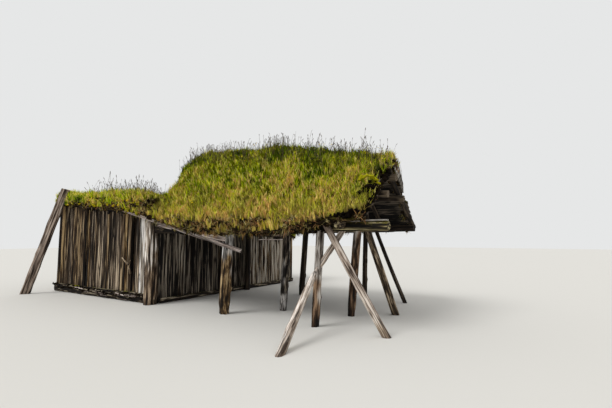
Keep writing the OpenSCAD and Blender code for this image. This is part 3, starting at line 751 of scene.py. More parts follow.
class Surface:
    """A CAD node's faces, asked for heights and edges."""

    def __init__(self, node: Piece, origin: Vector) -> None:
        """Reads the node's mesh.

        Args:
            node: The node's object.
            origin: What is taken from its places.
        """
        mesh = node.data
        points = [vertex.co - origin for vertex in mesh.vertices]
        self.tree = BVHTree.FromPolygons(points, [polygon.vertices for polygon in mesh.polygons])

    def top(self, x: float, y: float) -> float | None:
        """Gives the height of the uppermost face at a place, or None beside the node."""
        hit = self.tree.ray_cast(Vector((x, y, 20)), Vector((0, 0, -1)))[0]
        return hit.z if hit else None

    def edge(self, start: Vector, run: Vector, step: float = 10 * MM, limit: float = 5.0) -> Vector:
        """Finds where the node begins on a line in plan.

        Args:
            start: A place beside the node.
            run: The direction to look in.
            step: How finely to look.
            limit: How far to look.

        Returns:
            The first place over the node, or start if there is none.
        """
        for i in range(int(limit / step)):
            place = start + run * (i * step)
            if self.top(place.x, place.y) is not None:
                return place
        return start


@dataclass
class Site:
    """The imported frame, with the place that this script measures from."""

    frame: dict[str, Any]
    plate_reach: float = 1.42
    origin: Vector = field(init=False)

    def __post_init__(self) -> None:
        """Finds the foot of the front right post from the front plate log."""
        low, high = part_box("plate_front")
        self.origin = Vector((high.x - self.plate_reach, (low.y + high.y) / 2, 0))

    def surface(self, node: str) -> Surface:
        """Reads a node's faces."""
        return Surface(self.frame["nodes"][node], self.origin)

    def copy_of(self, node: str) -> Piece:
        """Copies a node's mesh, merged, with places from this script's origin.

        Args:
            node: The node's name.

        Returns:
            The copy.
        """
        piece = twin(self.frame["nodes"][node], f"{node}_copy")
        piece.parent = None
        piece.data.materials.clear()
        put(piece, Matrix.Translation(-self.origin))
        with editing(piece, Select.VERTICES):
            bpy.ops.mesh.remove_doubles(threshold=0.1 * MM)
        return piece

    def settle(self, piece: Piece, material: Any, replaces: Sequence[str] = ()) -> None:
        """Puts a finished piece into the frame and hides the CAD nodes that it stands for.

        Args:
            piece: The finished piece.
            material: Its material.
            replaces: The CAD nodes that it stands for.
        """
        put(piece, Matrix.Translation(self.origin))
        piece.data.materials.clear()
        piece.data.materials.append(material)
        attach(piece, BODY)
        if replaces:
            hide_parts(*replaces)
        LOG.info("%s: %d faces", piece.name, len(piece.data.polygons))

    def dress(self, nodes: Sequence[str], material: Any) -> None:
        """Gives CAD nodes whose shape is right their material.

        Args:
            nodes: The nodes' names.
            material: The material.
        """
        for name in nodes:
            piece = self.frame["nodes"][name]
            for held in piece.material_slots:
                held.material = material


# Timber


@dataclass
class Stick:
    """A piece of timber between two points, modelled upright from the origin and then put in its place.

    One that stands is begun below the floor and cut level with it.
    """

    name: str
    foot: Point
    head: Point
    finish: Wood
    slot: Slot
    replaces: tuple[str, ...] = ()
    turn: float = 0.0
    stands: bool = False
    below: float = 0.16
    seed: int = 1

    def build(self, site: Site) -> None:
        """Models the piece, puts it in its place and settles it.

        Args:
            site: The frame.
        """
        foot, head = Vector(self.foot), Vector(self.head)
        run = (head - foot).normalized()
        if self.stands:
            foot = foot - run * self.below
        piece = self._upright((head - foot).length)
        turn = Matrix.Rotation(math.radians(self.turn), 4, "Z")
        put(piece, Matrix.Translation(foot) @ (run.to_track_quat("Z", "Y").to_matrix().to_4x4() @ turn))
        if self.stands:
            with editing(piece, Select.VERTICES):
                bpy.ops.mesh.bisect(plane_co=(0, 0, 0), plane_no=(0, 0, 1), clear_inner=True, use_fill=True)
        self._trim(piece)
        site.settle(piece, self.finish.material(), self.replaces)

    def _upright(self, length: float) -> Piece:
        """Models the piece upright, with the layers that its finish reads."""
        raise NotImplementedError

    def _trim(self, piece: Piece) -> None:
        """Finishes the piece once it is in its place."""
        raise NotImplementedError


@dataclass
class Log(Stick):
    """A round log, lumpy and grooved as it grew.

    Widths are those of its foot and head, and a knot is given by its share of the length and
    its turn in degrees. Lumps, grooves, rot and the point are shares of the radius.
    """

    widths: tuple[float, float] = (0.17, 0.163)
    sides: int = 22
    rings: int = 24
    bow: tuple[float, float] = (0.0, 0.0)
    lumps: float = 0.07
    grooves: float = 0.05
    knots: tuple[tuple[float, float], ...] = ()
    knot_size: float = 0.07
    knot_height: float = 0.022
    bare_from: float = 0.5
    bare_foot: float = 0.0
    bare_fade: float = 0.08
    pointed: float = 0.0
    point: float = 0.75
    rotten: float = 0.0
    rot: float = 0.35
    ragged: float = 12 * MM
    end_tone: float = 0.0
    dark_to: float = 0.0
    dark_tone: float = 0.8

    def _upright(self, length: float) -> Piece:
        """Models the log from a cylinder with rings along it and on its ends.

        Args:
            length: The log's length.

        Returns:
            The log, with its grain, bare and tone layers.
        """
        cylinder = bpy.ops.mesh.primitive_cylinder_add
        piece = primitive(cylinder, self.name, vertices=self.sides, radius=0.5, depth=1.0)
        put(piece, Matrix.Translation((0, 0, 0.5)))
        cut_rows(piece, (2, self.rings))
        with editing(piece, Select.POLYGONS, lambda face: abs(face.normal.z) > 0.9):
            bpy.ops.mesh.inset(thickness=0.1)
            bpy.ops.mesh.inset(thickness=0.2)
            bpy.ops.mesh.poke()
        shape(piece, lambda place: self._grown(place, length))
        offset = Vector((self.seed * 1.7, self.seed * 0.6, self.seed * 3.1))
        write_grain(piece, lambda place: place + offset)
        write_layer(piece, "bare", lambda place: self._bared(place, length))
        write_layer(piece, "tone", lambda place: self._tone(place, length))
        return piece

    def _trim(self, piece: Piece) -> None:
        """Smooths the round faces and keeps the ends sharp."""
        pick(piece)
        bpy.ops.object.shade_smooth_by_angle(angle=math.radians(40))

    def _grown(self, place: Vector, length: float) -> Vector:
        """Gives a vertex of the blank its place in the log.

        Args:
            place: The vertex on the blank, which is one high and one wide.
            length: The log's length.

        Returns:
            Its place, with the log upright from the origin.
        """
        share = place.z
        around = math.atan2(place.y, place.x)
        ring = Vector((math.cos(around), math.sin(around), 0))
        spot = ring * 0.5 + Vector((0, 0, share * length / 1.6))
        lump = self.lumps * (1.3 * rough(spot, 0.8, self.seed) + 0.7 * rough(spot, 0.28, self.seed + 5))
        groove = self.grooves * rough(ring * 2.2 + Vector((0, 0, share * length / 3)), 0.35, self.seed + 9)
        reach = 2 * math.hypot(place.x, place.y)
        radius = blend(*self.widths, share) / 2 * reach * (1 + lump + groove)
        for at, turn in self.knots:
            off = around - math.radians(turn)
            off = math.atan2(math.sin(off), math.cos(off))
            gap = math.hypot(off * radius, (share - at) * length) / self.knot_size
            radius += self.knot_height * math.exp(-gap * gap * 3) * reach
        if self.pointed:
            radius *= 1 - self.point * ease(share * length, length - self.pointed, length + 0.02)
        if self.rotten:
            low = 1 - ease(share * length - self.below, 0.0, self.rotten)
            radius *= 1 - self.rot * low * ease(rough(ring, 0.7, self.seed + 3), -0.2, 0.4)
        end = min(share, 1 - share) < 0.001
        up = share * length + (self.ragged * rough(place * 4, 0.5, self.seed) if end else 0.0)
        bend = math.sin(math.pi * share)
        return Vector((radius * ring.x + self.bow[0] * bend, radius * ring.y + self.bow[1] * bend, up))

    def _tone(self, place: Vector, length: float) -> float:
        """Says how much paler than usual a place is: the head's cut face, or darker where turf covers it,
        which is painted shade.
        """
        tone = self.end_tone * ease(place.z, length - 12 * MM, length - 6 * MM)
        # Painted shade on the part of the log that the turf covers
        if self.dark_to:
            tone -= self.dark_tone * (1 - ease(place.z / length, self.dark_to - 0.03, self.dark_to))
        return tone

    def _bared(self, place: Vector, length: float) -> float:
        """Says how far the bark is gone at a place, from 0 to 1."""
        patch = rough(Vector((place.x * 2, place.y * 2, place.z)), 0.33, self.seed + 2)
        level = place.z / length + 0.45 * patch
        line = self.bare_foot or self.bare_from
        above = ease(level, line - self.bare_fade, line + self.bare_fade)
        return 1 - above if self.bare_foot else above


@dataclass
class Timber(Stick):
    """A squared or sawn timber with worn arrises."""

    width: float = 0.1
    thickness: float = 0.03
    cuts: int = 18
    side_cuts: int = 3
    wear: float = 4 * MM
    sway: float = 4 * MM
    ends: float = 20 * MM
    bare: float = 0.8

    def _upright(self, length: float) -> Piece:
        """Models the timber from a cube with rows of faces on every side.

        Args:
            length: The timber's length.

        Returns:
            The timber, with its grain and bare layers.
        """
        piece = primitive(bpy.ops.mesh.primitive_cube_add, self.name, size=1)
        put(piece, Matrix.Diagonal((self.width, self.thickness, length, 1)) @ Matrix.Translation((0, 0, 0.5)))
        cut_rows(piece, (0, self.side_cuts), (1, self.side_cuts), (2, self.cuts))
        shape(piece, lambda place: self._worn(place, length))
        offset = Vector((self.seed * 2.3, -self.seed * 0.8, self.seed * 1.9))
        write_grain(piece, lambda place: place + offset)
        write_layer(piece, "bare", lambda place: self.bare)
        return piece

    def _trim(self, piece: Piece) -> None:
        """Keeps the worn foot from reaching below the floor."""
        shape(piece, lambda place: Vector((place.x, place.y, max(place.z, 0.0))))

    def _worn(self, place: Vector, length: float) -> Vector:
        """Rounds the arrises and makes the sides and ends uneven.

        Args:
            place: A vertex of the plain timber.
            length: The timber's length.

        Returns:
            Its new place.
        """
        half = Vector((self.width / 2, self.thickness / 2))
        corner = abs(place.x) > 0.9 * half.x and abs(place.y) > 0.9 * half.y
        height = Vector((0, 0, place.z))
        drift = Vector([self.sway * rough(height, 0.5, self.seed + i) for i in (0, 1)] + [0])
        bite = self.wear * (0.6 + rough(place, 0.12, self.seed + 2)) * (1.6 if corner else 0.4)
        inward = Vector((place.x, place.y, 0)).normalized() * bite
        ragged = 0.0
        if place.z < 0.1 * MM or place.z > length - 0.1 * MM:
            ragged = self.ends * rough(Vector((place.x * 3, place.y, place.z)), 0.1, self.seed + 4)
        return place - inward + drift + Vector((0, 0, ragged))


@dataclass
class SlabWall:
    """A wall of upright split slabs under the tilted house roof.

    The roof stands at corner_top over the corner post and falls to the right and to the back.
    From silver_from on, slabs have stood in the open and are bleached; on the porch side, where
    the open slabs are also lit, their paleness is partly painted light. Wander, ribs, split and
    rounded are shares of a slab's width and thickness.
    """

    name: str
    node: str
    start: tuple[float, float]
    turn: float
    length: float
    low: float
    finish: Wood
    seed: int
    thickness: float = 0.11
    groove: float = 0.010
    bulge: float = 0.032
    widths: tuple[float, float] = (0.13, 0.23)
    least: float = 0.05
    rise: float = 0.095
    corner_top: float = 2.0
    corner_x: float = -4.5
    fall: tuple[float, float] = (0.116, 0.081)
    slits: tuple[float, ...] = ()
    slit_width: float = 0.17
    slit_reach: float = 0.16
    slit_tone: float = 0.7
    silver_from: float = 99.0
    silver: tuple[float, float] = (0.8, 1.0)
    silver_tone: float = 0.24
    bares: tuple[float, ...] = (0.0, 0.05, 0.1, 0.25)
    tones: tuple[float, float] = (-0.12, 0.1)
    patterns: int = 8
    rows: tuple[int, int] = (9, 10)
    wander: float = 0.05
    edge: float = 0.04
    ribs: float = 0.17
    split: float = 0.2
    rounded: float = 0.3

    def build(self, site: Site) -> None:
        """Models the slabs, stands them in a row and settles the wall.

        Args:
            site: The frame.
        """
        draw = random.Random(self.seed)
        shapes = [self._pattern(i) for i in range(self.patterns)]
        place = Matrix.Translation((*self.start, 0)) @ Matrix.Rotation(math.radians(self.turn), 4, "Z")
        slabs = []
        at = 0.0
        while at < self.length - self.least:
            end = min([slit for slit in self.slits if slit > at + 0.01] + [self.length])
            width = min(draw.uniform(*self.widths), end - at)
            if end - at - width < self.widths[0]:
                width = min(end - at, 1.5 * self.widths[1])
            slabs.append(self._slab(draw, draw.choice(shapes), at, width, place))
            at += width
        remove(*shapes)
        wall = joined(slabs, self.name)
        pick(wall)
        bpy.ops.object.shade_smooth_by_angle(angle=math.radians(35))
        site.settle(wall, self.finish.material(), (self.node,))

    def _pattern(self, number: int) -> Piece:
        """Models one slab, one wide, one thick and one high: round outside, flat inside."""
        piece = primitive(bpy.ops.mesh.primitive_cube_add, size=1)
        put(piece, Matrix.Translation((0, 0.5, 0.5)))
        cut_rows(piece, (0, self.rows[0]), (2, self.rows[1]))

        def riven(place: Vector) -> Vector:
            """Gives a vertex of the plain block its place on a split slab."""
            wander = self.wander * rough(Vector((0, 3, place.z * 2)), 0.8, number)
            notch = rough(Vector((place.x * 4, 0, place.z * 3)), 0.7, number + 2)
            shift = wander + math.copysign(self.edge, place.x) * notch
            across = place.x * 0.96 + shift * (1 if abs(place.x) > 0.1 else 0.5)
            if place.y > 0.5:
                return Vector((across, 1, place.z))
            crown = 1 - (2 * place.x) ** 2
            ribs = rough(Vector((place.x * 11, 0, place.z * 1.1)), 0.9, number + 4)
            split = ease(rough(Vector((place.x * 4, 0, place.z * 0.7)), 0.45, number + 7), 0.15, 0.4)
            depth = self.rounded * (1 - crown) + (self.ribs * ribs + self.split * split) * crown
            return Vector((across, depth, place.z))

        shape(piece, riven)
        return piece

    def _slab(self, draw: random.Random, pattern: Piece, at: float, width: float, place: Matrix) -> Piece:
        """Copies a pattern to its width and height, with its own grain and weathering.

        Args:
            draw: The wall's random draws.
            pattern: The modelled slab.
            at: Where the slab begins along the wall.
            width: The slab's width.
            place: The wall's place.

        Returns:
            The slab in its place.
        """
        slab = twin(pattern, f"{self.name}_slab")
        middle = at + width / 2
        plan = place @ Vector((middle, self.thickness / 2, 0))
        top = self.corner_top + self.rise - self.fall[0] * (plan.x - self.corner_x) - self.fall[1] * plan.y
        high = top - draw.uniform(0.0, 0.05)
        low = max(0.0, self.low - draw.uniform(-0.02, 0.09))
        lean = draw.uniform(-0.008, 0.008)
        mirror = draw.choice((-1, 1))
        proud = draw.uniform(0.0, self.bulge)
        thick = self.thickness - self.groove + proud
        ragged = draw.uniform(0.01, 0.05)
        phase = draw.uniform(0, 50)

        def sized(point: Vector) -> Vector:
            """Gives a vertex of the pattern its place on this slab."""
            z = blend(low, high, point.z)
            if point.z < 0.01:
                z += ragged * rough(Vector((point.x * 2, 0, 0)), 0.6, phase)
            x = middle + mirror * point.x * width + lean * (z - 1)
            for slit in self.slits:
                close = max(0.0, 1 - abs(x - slit) / self.slit_reach) * (0.4 + 0.6 * ease(z, 0.3, 1.1))
                x += math.copysign(self.slit_width / 2, middle - slit) * close
            return Vector((x, -proud + point.y * thick, z))

        shape(slab, sized)
        if mirror < 0:
            with editing(slab, Select.POLYGONS):
                bpy.ops.mesh.flip_normals()
        offset = Vector((draw.uniform(0, 9), draw.uniform(0, 9), draw.uniform(0, 9)))
        write_grain(slab, lambda point: point + offset)
        # Past silver_from the slabs are paler: bleached, and on the porch side partly painted light
        past_silver_from = middle >= self.silver_from
        pale = draw.uniform(*self.silver) if past_silver_from else draw.choice(self.bares)
        tone = draw.uniform(*self.tones) + (self.silver_tone if past_silver_from else 0.0)
        write_layer(slab, "bare", lambda point: pale)
        # The sides of the slits are darkened: painted shade
        write_layer(slab, "tone", lambda point: tone - self.slit_tone * self._in_slit(point))
        put(slab, place)
        return slab

    def _in_slit(self, point: Vector) -> float:
        """Says whether a place is on the shaded side of a slit, from 0 to 1."""
        near = max([0.0] + [1 - abs(point.x - slit) / (0.6 * self.slit_width) for slit in self.slits])
        return ease(near, 0.0, 0.5) * ease(point.y, 0.0, 0.02)


@dataclass
class RoofBoards:
    """Boards that lie along a roof, over its rafters or poles, and follow a CAD node's faces."""

    name: str
    node: str
    spans: tuple[float, float]
    reach: tuple[float, float]
    seed: int
    widths: tuple[float, float] = (0.13, 0.21)
    thickness: float = 0.028
    ragged: tuple[float, float] = (0.0, 0.07)
    gaps: tuple[float, float] = (2 * MM, 10 * MM)
    shortest: float = 0.3
    end_tone: float = 0.8
    cuts: int = 14

    def build(self, site: Site) -> None:
        """Lays the boards and settles them.

        Args:
            site: The frame.
        """
        draw = random.Random(self.seed)
        surface = site.surface(self.node)
        boards = []
        y = self.spans[0]
        while y < self.spans[1] - 0.02:
            wide = min(draw.uniform(*self.widths), self.spans[1] - y)
            boards.append(self._board(draw, surface, y, y + wide))
            y += wide
        layer = joined([board for board in boards if board], self.name)
        # The boards are painted near black, which is painted shade under the roof
        site.settle(layer, SHADED_ROOF_DEAL.material(), (self.node,))

    def _board(self, draw: random.Random, surface: Surface, y0: float, y1: float) -> Piece | None:
        """Lays one board between two lines in plan.

        Args:
            draw: The layer's random draws.
            surface: The node that it follows.
            y0: The board's front edge.
            y1: The board's rear edge.

        Returns:
            The board, or None where the node has no room for it.
        """
        middle = (y0 + y1) / 2
        left, right = (
            surface.edge(Vector((start, middle, 0)), Vector((way, 0, 0))).x
            for start, way in zip(self.reach, (1, -1))
        )
        if surface.top(left, middle) is None or right - left < self.shortest:
            return None
        end = right - draw.uniform(*self.ragged)
        centre = (left + right) / 2
        piece = primitive(bpy.ops.mesh.primitive_cube_add, size=1)
        cut_rows(piece, (0, self.cuts))
        gap = draw.uniform(*self.gaps)
        seed = draw.uniform(0, 90)

        def height(x: float, y: float) -> float:
            """Gives the roof's height, read nearer the board's middle where the roof ends."""
            steps = (step / 10 for step in range(11))
            tries = (surface.top(blend(x, centre, share), blend(y, middle, share)) for share in steps)
            return next(z for z in tries if z is not None)

        def laid(point: Vector) -> Vector:
            """Gives a vertex of the plain board its place on the roof."""
            x = blend(left, end, point.x + 0.5)
            edge = 0.006 * rough(Vector((x, point.y * 9, 0)), 0.4, seed)
            y = middle + point.y * (y1 - y0 - gap) + edge
            if abs(point.x) > 0.49:
                x += 0.02 * rough(Vector((0, y, 0)), 0.05, seed)
            return Vector((x, y, height(x, y) - (0.5 - point.z) * self.thickness))

        shape(piece, laid)
        write_grain(piece, lambda place: Vector((place.y + seed, place.z, place.x)))
        tone = draw.uniform(-0.2, 0.2)
        write_layer(piece, "bare", lambda point: 1.0)
        write_layer(piece, "tone", lambda point: tone + self.end_tone * ease(point.x, end - 0.03, end))
        return piece


@dataclass
class Weathered:
    """A board of a CAD node's own outline, with worn and uneven faces."""

    name: str
    node: str
    finish: Wood
    slot: Slot
    slope: float
    voxel: float = 11 * MM
    wear: float = 9 * MM
    bare: float = 0.9

    def build(self, site: Site) -> None:
        """Models the worn board where its node is.

        Args:
            site: The frame.
        """
        piece = site.copy_of(self.node)
        piece.name = piece.data.name = self.name
        finish_modifier(piece, "REMESH", mode="VOXEL", voxel_size=self.voxel, use_smooth_shade=True)
        swell(piece, self._bitten)
        turn = Matrix.Rotation(math.radians(90 - self.slope), 3, "X")
        write_grain(piece, lambda place: turn @ place)
        write_layer(piece, "bare", lambda place: self.bare)
        site.settle(piece, self.finish.material(), (self.node,))

    def _bitten(self, place: Vector, normal: Vector) -> Vector:
        """Wears a face back here and leaves it proud there."""
        bite = rough(place, 0.16, 3) + 0.7 * rough(place, 0.05, 5) - 0.25
        return place + normal * (self.wear * bite)


# Turf


def lump(radius: float, flat: float, seed: float) -> Piece:
    """Models a lumpy ball.

    Args:
        radius: Its size.
        flat: Its height over its width.
        seed: Picks its bumps.

    Returns:
        The ball, with its tip and hue layers.
    """
    ball = primitive(bpy.ops.mesh.primitive_uv_sphere_add, segments=7, ring_count=4, radius=radius)

    def swollen(place: Vector) -> Vector:
        """Gives a vertex of the ball its place on the lump."""
        size = 1 + 0.5 * rough(place, radius, seed) + 0.35 * rough(place, radius / 3, seed + 4)
        return Vector((place.x * size, place.y * size, place.z * size * flat))

    # The tip layer runs from 0 under the ball to 1 on top, so the root colour darkens the underside: painted
    # shade
    write_layer(ball, "tip", lambda place: 0.5 + 0.5 * place.z / radius)
    shape(ball, swollen)
    write_layer(ball, "hue", lambda place: 0.5 + rough(place, radius / 2, seed + 7))
    return ball


@dataclass
class Lumps:
    """Clods, moss or rotten crumbs heaped along a line."""

    name: str
    start: Point
    end: Point
    around: Point
    number: int
    sizes: tuple[float, float]
    finish: Growth
    seed: int
    arch: float = 0.0
    flat: float = 0.7

    def build(self, site: Site) -> None:
        """Models the lumps and settles them as one piece.

        Args:
            site: The frame.
        """
        draw = random.Random(self.seed)
        heap = []
        for i in range(self.number):
            share = i / max(1, self.number - 1)
            radius = draw.uniform(*self.sizes)
            place = Vector(self.start).lerp(Vector(self.end), share)
            place += Vector([draw.uniform(-reach, reach) for reach in self.around])
            place.z = max(place.z + self.arch * math.sin(math.pi * share), radius * self.flat)
            ball = lump(radius, self.flat, draw.uniform(0, 50))
            put(ball, Matrix.Translation(place) @ Matrix.Rotation(draw.uniform(0, math.tau), 4, "Z"))
            heap.append(ball)
        whole = joined(heap, self.name)
        pick(whole)
        bpy.ops.object.shade_smooth()
        site.settle(whole, self.finish.material())


@dataclass
class Turf:
    """The sods: one thick coat over both roofs, heaped where the high roof meets the low one.

    Waves, clods and crumbs are pairs of a height and a width of the bumps on upper faces and on
    cut sides. A fade is the span over which a form begins.
    """

    name: str = "turf_coat"
    nodes: tuple[str, str] = ("porch_turf", "house_turf")
    voxel: float = 0.05
    upper: tuple[float, float] = (0.1, 0.6)
    side: tuple[float, float] = (0.35, 0.9)
    waves: tuple[tuple[float, float], ...] = ((0.05, 0.9), (0.04, 0.3))
    clods: tuple[tuple[float, float], ...] = ((0.12, 0.36), (0.07, 0.13))
    crumb: float = 0.022
    sunk: float = 0.08
    side_sunk: float = 0.03
    verge: tuple[float, float] = (1.06, -0.0656)
    verge_fade: tuple[float, float] = (0.5, 0.1)
    bared: float = 0.14
    bared_fade: tuple[float, float] = (1.8, 2.2)
    crest: float = 0.05
    crest_fade: tuple[float, float] = (0.3, 0.9)
    ridge: float = 1.6
    step_at: tuple[float, float] = (-5.66, 1.6)
    step_run: float = 1.23
    step_wide: float = 0.5
    step_edge: tuple[float, float] = (0.04, 0.05)
    step_fades: tuple[tuple[float, float], ...] = ((0.7, 1.2), (3.0, 3.6))
    step_low: float = 2.6
    step: float = 0.42
    valley: tuple[float, float] = (-5.75, 0.75)
    valley_size: float = 0.8
    fill: float = 0.12
    left_sunk: float = 0.05
    left_fade: tuple[float, float] = (6.3, 6.9)
    shoulder: tuple[float, float] = (-5.22, 1.5)
    shoulder_size: tuple[float, float] = (0.36, 1.0)
    shoulder_sunk: float = 0.15
    pocket: Point = (1.03, 0.2, 2.5)
    pocket_size: float = 0.24
    pocket_run: Point = (-0.16, 0.16, -0.04)

    def build(self, site: Site) -> Piece:
        """Models the coat of sods and settles it.

        Args:
            site: The frame.

        Returns:
            The coat, which the grass grows on.
        """
        coat, other = (site.copy_of(node) for node in self.nodes)
        finish_modifier(coat, "BOOLEAN", operation="UNION", solver="EXACT", object=other)
        remove(other)
        finish_modifier(coat, "REMESH", mode="VOXEL", voxel_size=self.voxel, use_smooth_shade=True)
        finish_modifier(coat, "SMOOTH", factor=0.5, iterations=4)
        swell(coat, self._grown)
        write_layer(coat, "tip", lambda place: 0.5 + rough(place, 0.2))
        write_layer(coat, "hue", lambda place: 0.5 + rough(place, 0.15, 2))
        coat.name = coat.data.name = self.name
        site.settle(coat, SOD.material(), self.nodes)
        return coat

    def _grown(self, place: Vector, normal: Vector) -> Vector:
        """Sinks the upper faces to leave room for grass, and makes them uneven.

        Args:
            place: A vertex of the coat.
            normal: Its normal.

        Returns:
            Its new place.
        """
        up = ease(normal.z, *self.upper)
        out = ease(1 - abs(normal.z), *self.side)
        wave = sum(high * rough(place, wide, seed) for (high, wide), seed in zip(self.waves, (3, 7)))
        clods = sum(high * rough(place, wide, seed) for (high, wide), seed in zip(self.clods, (17, 19)))
        crumbs = self.crumb * (rough(place, 0.11, 11) + rough(place, 0.05, 13))
        lift = up * (wave + crumbs - self.sunk) + out * (clods + 1.5 * crumbs - self.side_sunk)
        begin, full = (self.verge[0] + self.verge[1] * place.y - inside for inside in self.verge_fade)
        slipped = self.bared * ease(place.x, begin, full) * ease(place.y, *self.bared_fade) * up
        sunken = self.crest * up * (1 - ease(abs(place.y - self.ridge), *self.crest_fade))
        hollow = 1 - ease((place - Vector(self.pocket)).length, 0.25 * self.pocket_size, self.pocket_size)
        grown = place + normal * (lift - slipped - sunken) + Vector(self.pocket_run) * hollow
        valley = math.hypot(place.x - self.valley[0], place.y - self.valley[1]) / self.valley_size
        grown.z += up * (self.fill * math.exp(-valley * valley) - self._stepped(place))
        across, along = ((place[i] - self.shoulder[i]) / self.shoulder_size[i] for i in (0, 1))
        rounded = self.shoulder_sunk * math.exp(-across * across - along * along)
        grown.z -= up * (self.left_sunk * ease(-place.x, *self.left_fade) + rounded)
        return grown

    def _stepped(self, place: Vector) -> float:
        """Says how far the turf drops beside the heap's steep left end."""
        beside = self.step_at[0] - place.x - self.step_run * (place.y - self.step_at[1])
        before, run = self.step_edge
        if not -before < beside < self.step_wide or place.z < self.step_low:
            return 0.0
        front, rear = (ease(place.y, *fade) for fade in self.step_fades)
        edge = min(1.0, (beside + before) / run)
        return self.step * (front * (1 - rear)) * edge * (1 - max(0.0, beside) / self.step_wide)


